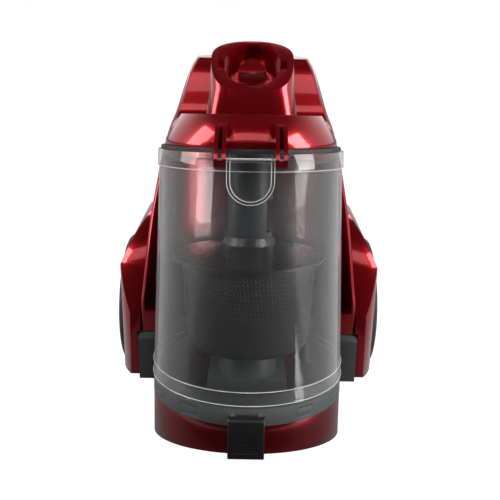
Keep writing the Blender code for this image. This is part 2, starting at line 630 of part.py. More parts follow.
def dust_bin():
    flare = (BIN_R_LOW - BIN_R_TOP) / (BIN_TOP - BIN_LOW)
    band = 0.1915
    glass = turned([(BIN_R_TOP + 0.0012, BIN_TOP), (BIN_R_TOP + 0.0015, band),
                    (BIN_R_TOP + 0.0003, band - 0.001),
                    (BIN_R_LOW, BIN_LOW), (BIN_R_LOW - WALL, BIN_LOW), (BIN_R_TOP - WALL, BIN_TOP)], 36)
    lug = plate(loop_outline(0.0165, 0.2030, 0.1690), -0.0838, -0.0705, "Y")
    cut(lug, plate(loop_outline(0.0140, 0.2100, 0.1715), -0.0900, -0.0680, "Y"))
    for vert in lug.data.vertices:
        vert.co.y += 0.17 * max(0.0, 0.1950 - vert.co.z) if vert.co.y < -0.0750 else 0.0
    cut(lug, box((-0.03, -0.0735, 0.2035), (0.03, -0.0600, 0.21)))
    inside = [(BIN_R_TOP - 0.001 + flare * (BIN_TOP - z), z) for z in (0.30, 0.10)]
    cut(lug, turned([(0, 0.30), *inside, (0, 0.10)], 36))
    join(glass, lug)
    cut(glass, rod(0.0015 + RUN, (-0.02, HINGE_Y, HINGE_Z), (0.02, HINGE_Y, HINGE_Z), 16))
    finish(smooth(glass), "bin_cylinder", SMOKE, bin_frame)

    ring = turned([(BIN_R_LOW, BIN_LOW - GAP), (BIN_R_LOW, RING_LOW), (0.0730, RING_LOW),
                   (0.0730, 0.0300), (BIN_R_LOW - WALL - GAP, 0.0300),
                   (BIN_R_LOW - WALL - GAP, BIN_LOW - GAP)], 36)
    channel = box((-0.0320, -0.0260, 0.0095), (0.0320, 0.0705, BIN_LOW - GAP))
    join(ring, channel, rod(0.0240, (0, 0, 0.0200), (0, 0, SHROUD_LOW - GAP), 32))
    cut(ring, box((-0.0300, -0.0240, 0.0115), (0.0300, 0.0900, 0.0190)),
        rod(0.0215, (0, 0, 0.0150), (0, 0, 0.0600), 32))
    cut(ring, box((-0.0100, 0.0740, 0.0000), (0.0100, 0.0900, 0.0093)))
    for side in (-1, 1):
        low, high = sorted((side * 0.0100, side * 0.0190))
        join(ring, rod(COVER_KNUCKLE_R, (low, *COVER_HINGE), (high, *COVER_HINGE), 16))
    cut(ring, rod(COVER_PIN_R + RUN, (-0.03, *COVER_HINGE), (0.03, *COVER_HINGE), 12))
    for x in (-0.0100, 0.0100):
        join(ring, box((x - 0.0018, -0.0835, 0.0100), (x + 0.0018, -0.0755, 0.0170)))
    cut(ring, rod(0.0012 + RUN, (-0.02, LATCH_Y, LATCH_Z), (0.02, LATCH_Y, LATCH_Z), 12))
    finish(smooth(ring), "base_ring", CHARCOAL, bin_frame)

    low, top = SHROUD_LOW, SHROUD_TOP
    shroud = turned([(0.0400, top), (SHROUD_R, top), (SHROUD_R - 0.0040, low + 0.0090),
                     (SHROUD_R - 0.0062, low + 0.0028),
                     (SHROUD_R - 0.0105, low), (0.0220, low), (0.0220, low + 0.0020),
                     (SHROUD_R - 0.0115, low + 0.0020),
                     (SHROUD_R - 0.0080, low + 0.0042), (SHROUD_R - 0.0060, low + 0.0095),
                     (SHROUD_R - 0.0020, top - 0.0020),
                     (0.0400, top - 0.0020)], 32)
    finish(shroud, "shroud", BLACK, bin_frame)
    foot, top = SHROUD_TOP + GAP, SKIRT_TOP
    skirt = turned([(TUBE_R - 0.0040, top), (TUBE_R + GAP, top), (TUBE_R + GAP, top + 0.0100),
                    (TUBE_R + 0.0012, top + 0.0100),
                    (TUBE_R + 0.0035, top + 0.0040), (TUBE_R + 0.0100, top + 0.0008),
                    (0.0400, top - 0.0015),
                    (SKIRT_R, top - 0.0050), (SKIRT_R, top - 0.0072), (0.0470, top - 0.0056),
                    (0.0460, foot), (0.0410, foot),
                    (0.0410, top - 0.0046), (TUBE_R - 0.0040, top - 0.0030)], 32)
    finish(skirt, "shroud_skirt", BLACK, bin_frame)
    pipe = turned([(TUBE_R, LID_TOP - 0.006), (TUBE_R, SKIRT_TOP + GAP),
                   (TUBE_R - TUBE_WALL, SKIRT_TOP + GAP), (TUBE_R - TUBE_WALL, LID_TOP - 0.006)], 32)
    cut(pipe, box((0.0, -0.012, SKIRT_TOP + 0.014), (0.030, 0.012, SKIRT_TOP + 0.040)))
    finish(smooth(pipe), "inlet_tube", CHARCOAL, bin_frame)


def bin_lid():
    inner = 0.0025
    lid = turned([(0, LID_TOP), (LID_TOP_R, LID_TOP), (LID_R, LID_RIM), (LID_R, LID_LOW),
                  (LID_R - 0.003, LID_LOW), (LID_R - 0.003, LID_RIM - 0.0015),
                  (LID_TOP_R - 0.002, LID_TOP - inner), (0, LID_TOP - inner)], 32)
    for side in (-1, 1):
        outline = [(-0.0560, 0.2240), (-0.0650, 0.2110), (-0.0672, 0.2078), (-0.0750, 0.2060),
                   (-0.0765, 0.1960), (-0.0800, 0.1945), (-0.0845, 0.1960),
                   (-0.0862, 0.2010), (-0.0830, 0.2080), (-0.0700, 0.2240)]
        low, high = sorted((side * 0.0168, side * 0.0250))
        join(lid, plate(outline, low, high, "X"))
    cut(lid, rod(0.0160, (0, 0, 0.20), (0, 0, 0.25), 32), rod(0.0015 + RUN, (-0.03, HINGE_Y, HINGE_Z),
            (0.03, HINGE_Y, HINGE_Z), 16))
    finish(smooth(lid), "bin_lid", RED, bin_frame)
    seal = turned([(0.0712, LID_LOW - GAP), (0.0716, BIN_TOP + GAP), (0.0660, BIN_TOP + GAP),
                   (0.0660, LID_LOW - GAP)], 32)
    finish(seal, "lid_seal", RUBBER, bin_frame)
    finish(rod(0.0015, (-0.0245, HINGE_Y, HINGE_Z), (0.0245, HINGE_Y, HINGE_Z), 20), "lid_hinge_pin",
           STEEL, bin_frame)


def hose_port():
    """A rounded column on the lid, cut off by a slanted mouth with a round socket."""
    def oval(half, front, back, power, height):
        turn = [2 * math.pi * i / 28 for i in range(28)]
        middle, reach = (front + back) / 2, (back - front) / 2
        return [(half * math.copysign(abs(math.cos(a)) ** power, math.cos(a)),
                 middle + reach * math.copysign(abs(math.sin(a)) ** power, math.sin(a)),
                 height) for a in turn]
    port = loft([oval(0.0350, PORT_FRONT - 0.001, PORT_BACK, 0.50, LID_TOP + GAP),
                 oval(0.0325, PORT_FRONT, PORT_BACK - 0.0040, 0.58, 0.250),
                 oval(PORT_HALF, PORT_FRONT, PORT_BACK - 0.0160, 0.75, 0.268),
                 oval(PORT_HALF - 0.0008, PORT_FRONT, PORT_BACK - 0.0295, 0.95, 0.2880)])
    mouth = Vector((0, *MOUTH_CENTRE))
    normal = Vector((0, -math.cos(MOUTH_TILT), math.sin(MOUTH_TILT)))
    turn = Matrix.Translation(mouth) @ normal.to_track_quat("Z", "Y").to_matrix().to_4x4()
    front = box((-0.1, -0.1, 0), (0.1, 0.1, 0.1))
    front.data.transform(turn)
    cut(port, front, rod(MOUTH_BORE_R, mouth + normal * 0.01, mouth - normal * 0.026, 40),
        rod(0.0160, (0, 0, 0.22), (0, 0, 0.255), 32))
    finish(smooth(port, 30), "hose_port", RED, bin_frame)


def bottom_cover():
    """The red cup that closes the bin: round above, flat below and swept up at the front."""
    def cup(radius, inset, top):
        solid = rod(radius, (0, 0, -0.060), (0, 0, top), 36)
        flat = box((-0.1, -0.1, -0.1), (0.1, 0.1, 0))
        flat.data.transform(Matrix.Translation((0, 0, -0.0310 + inset)) @ Matrix.Rotation(TILT, 4, "X"))
        sweep = box((-0.1, -0.2, -0.1), (0.1, 0.1, 0))
        sweep.data.transform(Matrix.Translation((0, -0.004,
                                                 -0.0310 + inset)) @ Matrix.Rotation(math.radians(-13), 4,
                                                         "X"))
        return cut(solid, flat, sweep)
    cover = cup(CUP_R, 0, CUP_TOP)
    cut(cover, cup(CUP_R - WALL, WALL, CUP_TOP + 0.02))
    for side in (-1, 1):
        low, high = sorted((side * 0.0097, side * 0.0193))
        cut(cover, box((low, 0.0735, 0.0050), (high, 0.0900, 0.0200)))
    join(cover, rod(COVER_KNUCKLE_R, (-0.0097, *COVER_HINGE), (0.0097, *COVER_HINGE), 16))
    cut(cover, rod(COVER_PIN_R + GAP, (-0.03, *COVER_HINGE), (0.03, *COVER_HINGE), 12))
    join(cover, box((-0.0080, -0.0800, -0.0060), (0.0080, -0.0762, -0.0030)))
    finish(smooth(cover, 30), "bottom_cover", RED, bin_frame)


def front_latch():
    outline = [(-0.0870, 0.0185), (-0.0892, 0.0160), (-0.0895, -0.0100), (-0.0880, -0.0125),
               (-0.0812, -0.0125), (-0.0812, -0.0065), (-0.0845, -0.0065),
               (-0.0845, 0.0090), (-0.0812, 0.0090), (-0.0812, 0.0170), (-0.0820, 0.0185)]
    latch = plate(outline, -0.0131, 0.0131, "X", 0.0006)
    bake(latch)
    for x in (-0.0100, 0.0100):
        cut(latch, box((x - 0.0024, -0.0850, 0.0060), (x + 0.0024, -0.0700, 0.0200)))
    cut(latch, rod(0.0012 + GAP, (-0.02, LATCH_Y, LATCH_Z), (0.02, LATCH_Y, LATCH_Z), 12))
    finish(latch, "front_latch", BLACK, bin_frame)
    finish(rod(0.0012, (-0.0128, LATCH_Y, LATCH_Z), (0.0128, LATCH_Y, LATCH_Z), 16), "latch_pin", STEEL,
           bin_frame)
    finish(rod(COVER_PIN_R, (-0.0188, *COVER_HINGE), (0.0188, *COVER_HINGE), 12), "cover_hinge_pin",
           STEEL, bin_frame)


main_body_shell()
exhaust_cover()
exhaust_filter()
lower_chassis()
for hand in (-1, 1):
    fender(hand)
    rear_wheel(hand)
    caster(hand)
motor()
duct()
cord_reel()
deck()
carry_handle()
dust_bin()
bin_lid()
hose_port()
bottom_cover()
front_latch()
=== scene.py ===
"""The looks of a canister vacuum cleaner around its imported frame: shapes, materials and studio."""
import json
import math

import bmesh
import bpy
import numpy as np
from mathutils import Matrix, Vector


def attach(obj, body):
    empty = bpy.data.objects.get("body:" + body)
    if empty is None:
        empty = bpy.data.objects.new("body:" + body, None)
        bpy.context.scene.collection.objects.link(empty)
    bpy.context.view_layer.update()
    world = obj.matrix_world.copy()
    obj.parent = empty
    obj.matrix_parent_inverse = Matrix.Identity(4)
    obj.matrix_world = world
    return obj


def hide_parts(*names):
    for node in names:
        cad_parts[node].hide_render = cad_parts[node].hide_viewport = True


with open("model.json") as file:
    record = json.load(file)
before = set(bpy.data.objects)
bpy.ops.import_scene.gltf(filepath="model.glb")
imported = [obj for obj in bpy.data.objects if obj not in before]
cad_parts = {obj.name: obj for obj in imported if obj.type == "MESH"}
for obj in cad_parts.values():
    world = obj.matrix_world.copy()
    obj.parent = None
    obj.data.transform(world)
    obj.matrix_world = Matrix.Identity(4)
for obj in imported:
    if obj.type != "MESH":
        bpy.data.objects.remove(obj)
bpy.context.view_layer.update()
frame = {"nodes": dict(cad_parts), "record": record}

GAP = 0.0003                  # play between neighbouring parts
RUN = 0.00006                 # running clearance of a shaft in its bore
WALL = 0.0025

TILT = math.radians(10)       # the bin leans back by this much
FOOT_Z = 0.0507               # height of the bin frame's origin
CENTRE_Y = 0.08385            # middle of the machine, measured from the bin frame's origin

BIN_TOP, BIN_LOW = 0.2040, 0.0205
BIN_R_TOP, BIN_R_LOW = 0.0725, 0.0775
RING_LOW = 0.0073
CUP_TOP = 0.0070
CUP_R = 0.0773
LID_LOW, LID_RIM, LID_TOP = 0.2073, 0.2120, 0.2310
LID_R, LID_TOP_R = 0.0678, 0.0560
SHROUD_R, SHROUD_LOW, SHROUD_TOP = 0.0545, 0.0440, 0.1150
SKIRT_R, SKIRT_TOP = 0.0620, 0.1240
TUBE_R, TUBE_WALL = 0.0182, 0.0020
PORT_HALF, PORT_FRONT, PORT_BACK = 0.0318, -0.0360, 0.0280
MOUTH_TILT = math.radians(41)
MOUTH_CENTRE = (-0.0184, 0.2687)   # y and z in the bin frame
MOUTH_BORE_R = 0.0218
HINGE_Y, HINGE_Z = -0.0800, 0.2000
COVER_HINGE = (0.0772, 0.0071)     # y and z in the bin frame
COVER_KNUCKLE_R, COVER_PIN_R = 0.0017, 0.0009
LATCH_Y, LATCH_Z = -0.0822, 0.0130

CHEEK_DEPTH = 0.0160          # solid stretch behind each cheek's front edge
SHOULDER_Z, SHOULDER_DEPTH = 0.2400, 0.0060
RECESS_R = 0.0825
RECESS_WIDE_R, RECESS_STEP = 0.0922, 0.0620
SEAM_Z = 0.0857
WHEEL_Y, WHEEL_Z, WHEEL_R = 0.1450, 0.0660, 0.0660
WHEEL_IN, WHEEL_OUT = 0.1010, 0.1240
WHEEL_SIDE = 0.0973           # inner face of the fenders beside the chassis
AXLE_R = 0.0050
CASTER_X, CASTER_Y, CASTER_R, CASTER_TRAIL = 0.0820, 0.0900, 0.0120, 0.0070
DECK_Z = 0.3130
BUTTON_X, BUTTON_Y = 0.0260, 0.1680
HANDLE_Y, HANDLE_Z = 0.2080, 0.3040
WINDOW_X, WINDOW_LOW, WINDOW_HIGH = 0.0500, 0.0900, 0.1500

LUG_FRONT = -0.0838              # front face of the bin's lug
LUG_LEAN, LUG_BEND = 0.17, 0.1950            # the lug leans back below this height
SLOT_PITCH, SLOT_ROW = 0.0030, 0.0036        # spacing of the shroud's slots, around and up
SLOTS_LOW, SLOTS_HIGH = 0.0780, 0.1110      # perforated band, up the bin's axis
WHEEL_RIBS, DIAL_FLUTES = 7, 18
RED_DEEP, RED_BRIGHT, RED_FLAKE = (0.300, 0.001, 0.006), (0.380, 0.002, 0.009), (0.60, 0.02, 0.03)


def from_bmesh(build, name="shape"):
    """A mesh object from a bmesh that a function fills."""
    mesh = bpy.data.meshes.new(name)
    bm = bmesh.new()
    build(bm)
    bmesh.ops.recalc_face_normals(bm, faces=bm.faces)
    bm.to_mesh(mesh)
    bm.free()
    obj = bpy.data.objects.new(name, mesh)
    bpy.context.scene.collection.objects.link(obj)
    return obj


def smooth(obj, angle=35):
    """Smooth shading with sharp edges above an angle."""
    obj.data.shade_smooth()
    obj.data.set_sharp_from_angle(angle=math.radians(angle))
    return obj


def face_out(obj):
    """Turns an object's faces outward."""
    bm = bmesh.new()
    bm.from_mesh(obj.data)
    bmesh.ops.recalc_face_normals(bm, faces=bm.faces)
    bm.to_mesh(obj.data)
    bm.free()
    return obj


def box(low, high, bevel=0.0, segments=1):
    """A box between two corners, with its edges rounded."""
    low, high = Vector(low), Vector(high)

    def build(bm):
        bmesh.ops.create_cube(bm, size=1.0)
        for vert in bm.verts:
            vert.co = (low + high) / 2 + Vector(c * s for c, s in zip(vert.co, high - low))
    obj = from_bmesh(build)
    if bevel:
        rounded = obj.modifiers.new("edges", "BEVEL")
        rounded.width = bevel
        rounded.segments = segments
    return obj


def rod(radius, start, end, sides=48, end_radius=None):
    """A round bar or cone from one point to another."""
    start, end = Vector(start), Vector(end)
    along = end - start
    turn = along.to_track_quat("Z", "Y").to_matrix().to_4x4()

    def build(bm):
        bmesh.ops.create_cone(bm, cap_ends=True, segments=sides, radius1=radius,
                              radius2=radius if end_radius is None else end_radius, depth=along.length,
                              matrix=Matrix.Translation((start + end) / 2) @ turn)
    return smooth(from_bmesh(build))


def turned(profile, steps=96, centre=(0, 0, 0), axis="Z"):
    """A closed profile of (radius, height) points turned about an axis through centre."""
    mesh = bpy.data.meshes.new("profile")
    points = [(r, 0, h) for r, h in profile]
    ring = [(i, (i + 1) % len(points)) for i in range(len(points))]
    edges = [(i, j) for i, j in ring if points[i][0] > 0 or points[j][0] > 0]
    mesh.from_pydata(points, edges, [])
    obj = bpy.data.objects.new("turned", mesh)
    bpy.context.scene.collection.objects.link(obj)
    screw = obj.modifiers.new("turn", "SCREW")
    screw.steps = screw.render_steps = steps
    screw.use_merge_vertices = True
    screw.merge_threshold = 0.00001
    bake(obj)
    turn = {"Z": Matrix(), "X": Matrix.Rotation(math.pi / 2, 4, "Y"),
            "-X": Matrix.Rotation(-math.pi / 2, 4, "Y"), "Y": Matrix.Rotation(-math.pi / 2, 4,
            "X")}[axis]
    obj.data.transform(Matrix.Translation(centre) @ turn)
    return smooth(face_out(obj))


def plate(outline, low, high, axis="Z", bevel=0.0):
    """A flat outline extruded from low to high along an axis.

    The outline's points are (x, y) for Z, (y, z) for X and (x, z) for Y."""
    curve = bpy.data.curves.new("outline", "CURVE")
    curve.dimensions = "2D"
    curve.fill_mode = "BOTH"
    curve.extrude = (high - low) / 2
    spline = curve.splines.new("POLY")
    spline.points.add(len(outline) - 1)
    for point, (a, b) in zip(spline.points, outline):
        point.co = (a, b, 0, 1)
    spline.use_cyclic_u = True
    obj = bpy.data.objects.new("plate", curve)
    middle = (low + high) / 2
    place = {"Z": Matrix.Translation((0, 0, middle)), "X": Matrix.Translation((middle, 0, 0))
             @ Matrix(((0, 0, 1, 0), (1, 0, 0, 0), (0, 1, 0, 0), (0, 0, 0, 1))),
             "Y": Matrix.Translation((0, middle, 0)) @ Matrix(((1, 0, 0, 0), (0, 0, -1, 0),
            (0, 1, 0, 0), (0, 0, 0, 1)))}
    bpy.context.scene.collection.objects.link(obj)
    made = as_mesh(obj)
    made.data.transform(place[axis])
    if bevel:
        rounded = made.modifiers.new("edges", "BEVEL")
        rounded.width = bevel
    return made


def as_mesh(curve_object):
    """A curve as a closed mesh object."""
    depsgraph = bpy.context.evaluated_depsgraph_get()
    mesh = bpy.data.meshes.new_from_object(curve_object.evaluated_get(depsgraph))
    bm = bmesh.new()
    bm.from_mesh(mesh)
    bmesh.ops.remove_doubles(bm, verts=bm.verts, dist=0.00001)
    bmesh.ops.recalc_face_normals(bm, faces=bm.faces)
    bm.to_mesh(mesh)
    bm.free()
    made = bpy.data.objects.new(curve_object.name, mesh)
    made.matrix_world = curve_object.matrix_world
    bpy.context.scene.collection.objects.link(made)
    bpy.data.objects.remove(curve_object)
    return made


def tube(points, radius, resolution=6):
    """A round bar bent along points."""
    curve = bpy.data.curves.new("bar", "CURVE")
    curve.dimensions = "3D"
    curve.bevel_depth = radius
    curve.bevel_resolution = resolution
    curve.use_fill_caps = True
    spline = curve.splines.new("POLY")
    spline.points.add(len(points) - 1)
    for point, place in zip(spline.points, points):
        point.co = (*place, 1)
    obj = bpy.data.objects.new("bar", curve)
    bpy.context.scene.collection.objects.link(obj)
    return smooth(as_mesh(obj), 50)


def bake(obj):
    """Applies an object's modifiers."""
    depsgraph = bpy.context.evaluated_depsgraph_get()
    mesh = bpy.data.meshes.new_from_object(obj.evaluated_get(depsgraph))
    obj.modifiers.clear()
    obj.data = mesh
    return obj


def combine(obj, others, operation):
    """Adds, cuts or keeps what other objects cover, and removes them."""
    for other in others:
        bake(other)
        step = obj.modifiers.new(operation.lower(), "BOOLEAN")
        step.operation = operation
        step.solver = "EXACT"
        step.object = other
        bake(obj)
        bpy.data.objects.remove(other)
    return obj


def cut(obj, *others):
    return combine(obj, others, "DIFFERENCE")


def join(obj, *others):
    return combine(obj, others, "UNION")


def keep(obj, *others):
    return combine(obj, others, "INTERSECT")


def tilted(obj):
    """Moves a shape drawn in the bin frame to the machine frame."""
    bake(obj)
    obj.data.transform(Matrix.Translation((0, 0, FOOT_Z)) @ Matrix.Rotation(-TILT, 4, "X"))
    return obj


def loft(rings):
    """A solid through rings of points, with flat ends."""
    def build(bm):
        loops = [[bm.verts.new(p) for p in ring] for ring in rings]
        for low, high in zip(loops, loops[1:]):
            for i in range(len(low)):
                j = (i + 1) % len(low)
                bm.faces.new((low[i], low[j], high[j], high[i]))
        bm.faces.new(list(reversed(loops[0])))
        bm.faces.new(loops[-1])
    return smooth(from_bmesh(build), 30)


MACHINE = Matrix.Translation((0, -CENTRE_Y, 0))
BIN = MACHINE @ Matrix.Translation((0, 0, FOOT_Z)) @ Matrix.Rotation(-TILT, 4, "X")


# ---- materials -------------------------------------------------------------------------------

class Nodes:
    """Short ways to add and link shader nodes."""

    def __init__(self, name):
        self.material = bpy.data.materials.new(name)
        self.material.use_nodes = True
        self.tree = self.material.node_tree
        self.shader = self.tree.nodes["Principled BSDF"]
        self.place = self.add("ShaderNodeTexCoord").outputs["Object"]

    def add(self, kind, **settings):
        node = self.tree.nodes.new(kind)
        for key, value in settings.items():
            setattr(node, key, value)
        return node

    def link(self, source, target):
        self.tree.links.new(source, target)

    def noise(self, scale, detail=3.0, roughness=0.55, place=None):
        node = self.add("ShaderNodeTexNoise")
        node.inputs["Scale"].default_value = scale
        node.inputs["Detail"].default_value = detail
        node.inputs["Roughness"].default_value = roughness
        self.link(place or self.place, node.inputs["Vector"])
        return node.outputs["Fac"]

    def cells(self, scale, feature="F1"):
        node = self.add("ShaderNodeTexVoronoi", feature=feature)
        node.inputs["Scale"].default_value = scale
        self.link(self.place, node.inputs["Vector"])
        return node

    def span(self, value, low, high, to_low, to_high):
        node = self.add("ShaderNodeMapRange")
        for key, number in zip(("From Min", "From Max", "To Min", "To Max"),
                               (low, high, to_low, to_high)):
            node.inputs[key].default_value = number
        self.link(value, node.inputs["Value"])
        return node.outputs["Result"]

    def mix(self, share, one, two):
        node = self.add("ShaderNodeMix", data_type="RGBA")
        self.link(share, node.inputs["Factor"])
        for key, colour in (("A", one), ("B", two)):
            socket = [s for s in node.inputs if s.name == key and s.type == "RGBA"][0]
            if hasattr(colour, "links"):
                self.link(colour, socket)
            else:
                socket.default_value = (*colour, 1)
        return [s for s in node.outputs if s.type == "RGBA"][0]

    def maths(self, operation, one, two=0.0):
        node = self.add("ShaderNodeMath", operation=operation)
        for socket, value in zip(node.inputs, (one, two)):
            if hasattr(value, "links"):
                self.link(value, socket)
            else:
                socket.default_value = value
        return node.outputs[0]

    def bump(self, height, strength, distance, below=None):
        node = self.add("ShaderNodeBump")
        node.inputs["Strength"].default_value = strength
        node.inputs["Distance"].default_value = distance
        self.link(height, node.inputs["Height"])
        if below:
            self.link(below, node.inputs["Normal"])
        return node.outputs["Normal"]

    def set(self, **values):
        for key, value in values.items():
            socket = self.shader.inputs[key.replace("_", " ")]
            if hasattr(value, "links"):
                self.link(value, socket)
            else:
                socket.default_value = value
        return self.material


def gloss_red(name, depth):
    """Deep red metallic plastic under a clear coat, with fine flake and a slight orange-peel."""
    n = Nodes(name)
    flake = n.cells(2600).outputs["Color"]
    split = n.add("ShaderNodeSeparateColor")
    n.link(flake, split.inputs[0])
    cloud = n.noise(9.0)
    deep, bright = ([part * depth for part in tone] for tone in (RED_DEEP, RED_BRIGHT))
    base = n.mix(cloud, deep, bright)
    colour = n.mix(n.span(split.outputs[0], 0.55, 1.0, 0.0, 0.14), base, RED_FLAKE)
    handled = n.noise(55.0, 5.0, 0.65)
    tiny = n.bump(split.outputs[1], 0.012, 0.0001)
    peel = n.bump(n.noise(120.0, 2.0), 0.012, 0.0006, tiny)
    n.set(Roughness=n.span(handled, 0.3, 0.75, 0.20, 0.27), Normal=peel)
    n.set(Metallic=0.78, Coat_Weight=0.8, Coat_Roughness=0.03, Coat_IOR=1.45)
    return n.set(Base_Color=colour)


def plastic(name, dark, light, rough, grain=1400.0, depth=0.10, dust=None, coat=0.0):
    """Moulded plastic: spark-eroded grain, uneven sheen and a trace of dust."""
    n = Nodes(name)
    cloud = n.noise(14.0, 4.0)
    colour = n.mix(n.span(cloud, 0.3, 0.7, 0.0, 1.0), dark, light)
    if dust:
        specks = n.cells(520.0).outputs["Distance"]
        few = n.span(specks, 0.0, 0.12, 1.0, 0.0)
        patch = n.span(n.noise(30.0, 2.0), 0.55, 0.8, 0.0, 0.35)
        colour = n.mix(n.maths("MULTIPLY", few, patch), colour, dust)
    fine = n.bump(n.noise(grain, 2.0, 0.6), depth, 0.0003)
    wavy = n.bump(n.noise(70.0, 2.0), 0.03, 0.001, fine)
    n.set(Base_Color=colour, Normal=wavy, Coat_Weight=coat, Specular_IOR_Level=0.32)
    return n.set(Roughness=n.span(n.noise(48.0, 5.0), 0.3, 0.72, rough - 0.05, rough + 0.09))


def clear_plastic():
    """Thin smoky plastic: see-through face on, denser at its edges and painted pale there as a painted
    edge highlight, with faint ripples and scuffs.
    """
    n = Nodes("clear_bin_plastic")
    edge = n.add("ShaderNodeLayerWeight")
    edge.inputs["Blend"].default_value = 0.32
    rim = n.maths("POWER", edge.outputs["Facing"], 1.5)
    scuff = n.span(n.noise(38.0, 6.0, 0.7), 0.56, 0.78, 0.0, 0.05)
    solid = n.maths("ADD", n.span(rim, 0.0, 1.0, 0.13, 0.78), scuff)
    cloud = n.mix(n.noise(20.0), (0.06, 0.062, 0.064), (0.10, 0.103, 0.106))
    # Painted highlight: the colour turns pale grey where the surface faces away, along edges and
    # silhouettes.
    colour = n.mix(rim, cloud, (0.66, 0.67, 0.68))
    ripple = n.bump(n.noise(16.0, 1.0), 0.008, 0.002)
    scratch = n.bump(n.noise(900.0, 2.0), 0.006, 0.0002, ripple)
    n.set(Base_Color=colour, Alpha=solid, Normal=scratch, IOR=2.8, Coat_Weight=0.0)
    return n.set(Roughness=n.span(n.noise(60.0, 4.0), 0.3, 0.7, 0.03, 0.10))


def painted_edge_highlight():
    """A painted highlight for a moulded clear edge: pale, glossy and half see-through."""
    n = Nodes("painted_clear_edge_highlight")
    colour = n.mix(n.noise(90.0, 3.0), (0.62, 0.63, 0.64), (0.85, 0.86, 0.87))
    soft = n.span(n.noise(35.0, 2.0), 0.3, 0.7, 0.35, 0.75)
    return n.set(Base_Color=colour, Alpha=soft, Roughness=0.12, Coat_Weight=0.5)


def rubber(name, dark, light):
    """Matt rubber with a fine skin and patches of dust."""
    n = Nodes(name)
    colour = n.mix(n.noise(60.0, 5.0), dark, light)
    dusty = n.mix(n.span(n.noise(18.0, 6.0, 0.7), 0.55, 0.8, 0.0, 0.35), colour, (0.10, 0.095, 0.085))
    skin = n.bump(n.noise(1900.0, 2.0), 0.25, 0.0003)
    return n.set(Base_Color=dusty, Normal=skin, Roughness=n.span(n.noise(90.0), 0.3, 0.7, 0.62, 0.82))


def metal():
    """Turned bright steel with fine drawn lines."""
    n = Nodes("turned_steel")
    stretch = n.add("ShaderNodeMapping")
    stretch.inputs["Scale"].default_value = (1.0, 1.0, 9.0)
    n.link(n.place, stretch.inputs["Vector"])
    lines = n.noise(700.0, 4.0, 0.6, stretch.outputs["Vector"])
    colour = n.mix(n.noise(40.0, 4.0), (0.42, 0.42, 0.43), (0.62, 0.62, 0.63))
    n.set(Base_Color=colour, Metallic=1.0, Normal=n.bump(lines, 0.08, 0.0002))
    return n.set(Roughness=n.span(lines, 0.3, 0.7, 0.22, 0.40))


def filter_foam():
    """Grey fibrous filter."""
    n = Nodes("pleated_filter")
    fibre = n.noise(1500.0, 6.0, 0.7)
    colour = n.mix(fibre, (0.05, 0.055, 0.06), (0.17, 0.18, 0.19))
    return n.set(Base_Color=colour, Normal=n.bump(fibre, 0.5, 0.0006), Roughness=0.95, Sheen_Weight=0.2)


def perforated():
    """Black satin sleeve with rows of small slanted slots between two plain bands; the slots are bump
    pits painted near-black as painted shade inside the holes.
    """
    n = Nodes("perforated_shroud")
    map_uv = n.add("ShaderNodeUVMap")
    map_uv.uv_map = "wrap"
    parts_of = n.add("ShaderNodeSeparateXYZ")
    n.link(map_uv.outputs["UV"], parts_of.inputs[0])
    around, up = parts_of.outputs[0], parts_of.outputs[1]
    slanted = n.maths("ADD", around, n.maths("MULTIPLY", up, 0.55))
    row = n.maths("FLOOR", n.maths("DIVIDE", up, SLOT_ROW))
    shifted = n.maths("ADD", slanted, n.maths("MULTIPLY", n.maths("MODULO", row, 2.0), SLOT_PITCH / 2))
    across = n.maths("ABSOLUTE", n.maths("SUBTRACT", n.maths("FRACT",
            n.maths("DIVIDE", shifted, SLOT_PITCH)), 0.5))
    along = n.maths("ABSOLUTE", n.maths("SUBTRACT", n.maths("FRACT", n.maths("DIVIDE", up, SLOT_ROW)),
            0.5))
    slot = n.maths("MULTIPLY", n.span(across, 0.20, 0.28, 1.0, 0.0),
                   n.span(along, 0.30, 0.38, 1.0, 0.0))
    above = n.span(up, SLOTS_LOW - 0.0002, SLOTS_LOW, 0.0, 1.0)
    below = n.span(up, SLOTS_HIGH, SLOTS_HIGH + 0.0002, 1.0, 0.0)
    slot = n.maths("MULTIPLY", slot, n.maths("MULTIPLY", above, below))
    plain = n.mix(n.noise(24.0, 4.0), (0.012, 0.012, 0.014), (0.022, 0.023, 0.025))
    # Painted shade: the slots are coloured near-black for the dark inside of the holes.
    colour = n.mix(slot, plain, (0.002, 0.002, 0.002))
    fine = n.bump(n.noise(1500.0, 2.0), 0.10, 0.0003)
    pits = n.add("ShaderNodeBump", invert=True)
    pits.inputs["Strength"].default_value = 0.8
    pits.inputs["Distance"].default_value = 0.0006
    n.link(slot, pits.inputs["Height"])
    n.link(fine, pits.inputs["Normal"])
    n.set(Base_Color=colour, Normal=pits.outputs["Normal"])
    return n.set(Roughness=n.span(n.noise(50.0, 4.0), 0.3, 0.7, 0.38, 0.50))


def swirled():
    """Glossy black disc with fine circular rub marks."""
    n = Nodes("swirled_black")
    map_uv = n.add("ShaderNodeUVMap")
    map_uv.uv_map = "wrap"
    stretch = n.add("ShaderNodeMapping")
    stretch.inputs["Scale"].default_value = (3.0, 140.0, 1.0)
    n.link(map_uv.outputs["UV"], stretch.inputs["Vector"])
    arcs = n.noise(30.0, 5.0, 0.7, stretch.outputs["Vector"])
    worn = n.span(arcs, 0.50, 0.80, 0.0, 0.5)
    colour = n.mix(worn, (0.012, 0.012, 0.013), (0.060, 0.060, 0.063))
    n.set(Base_Color=colour, Normal=n.bump(arcs, 0.06, 0.0003))
    return n.set(Roughness=n.span(arcs, 0.35, 0.75, 0.20, 0.42))
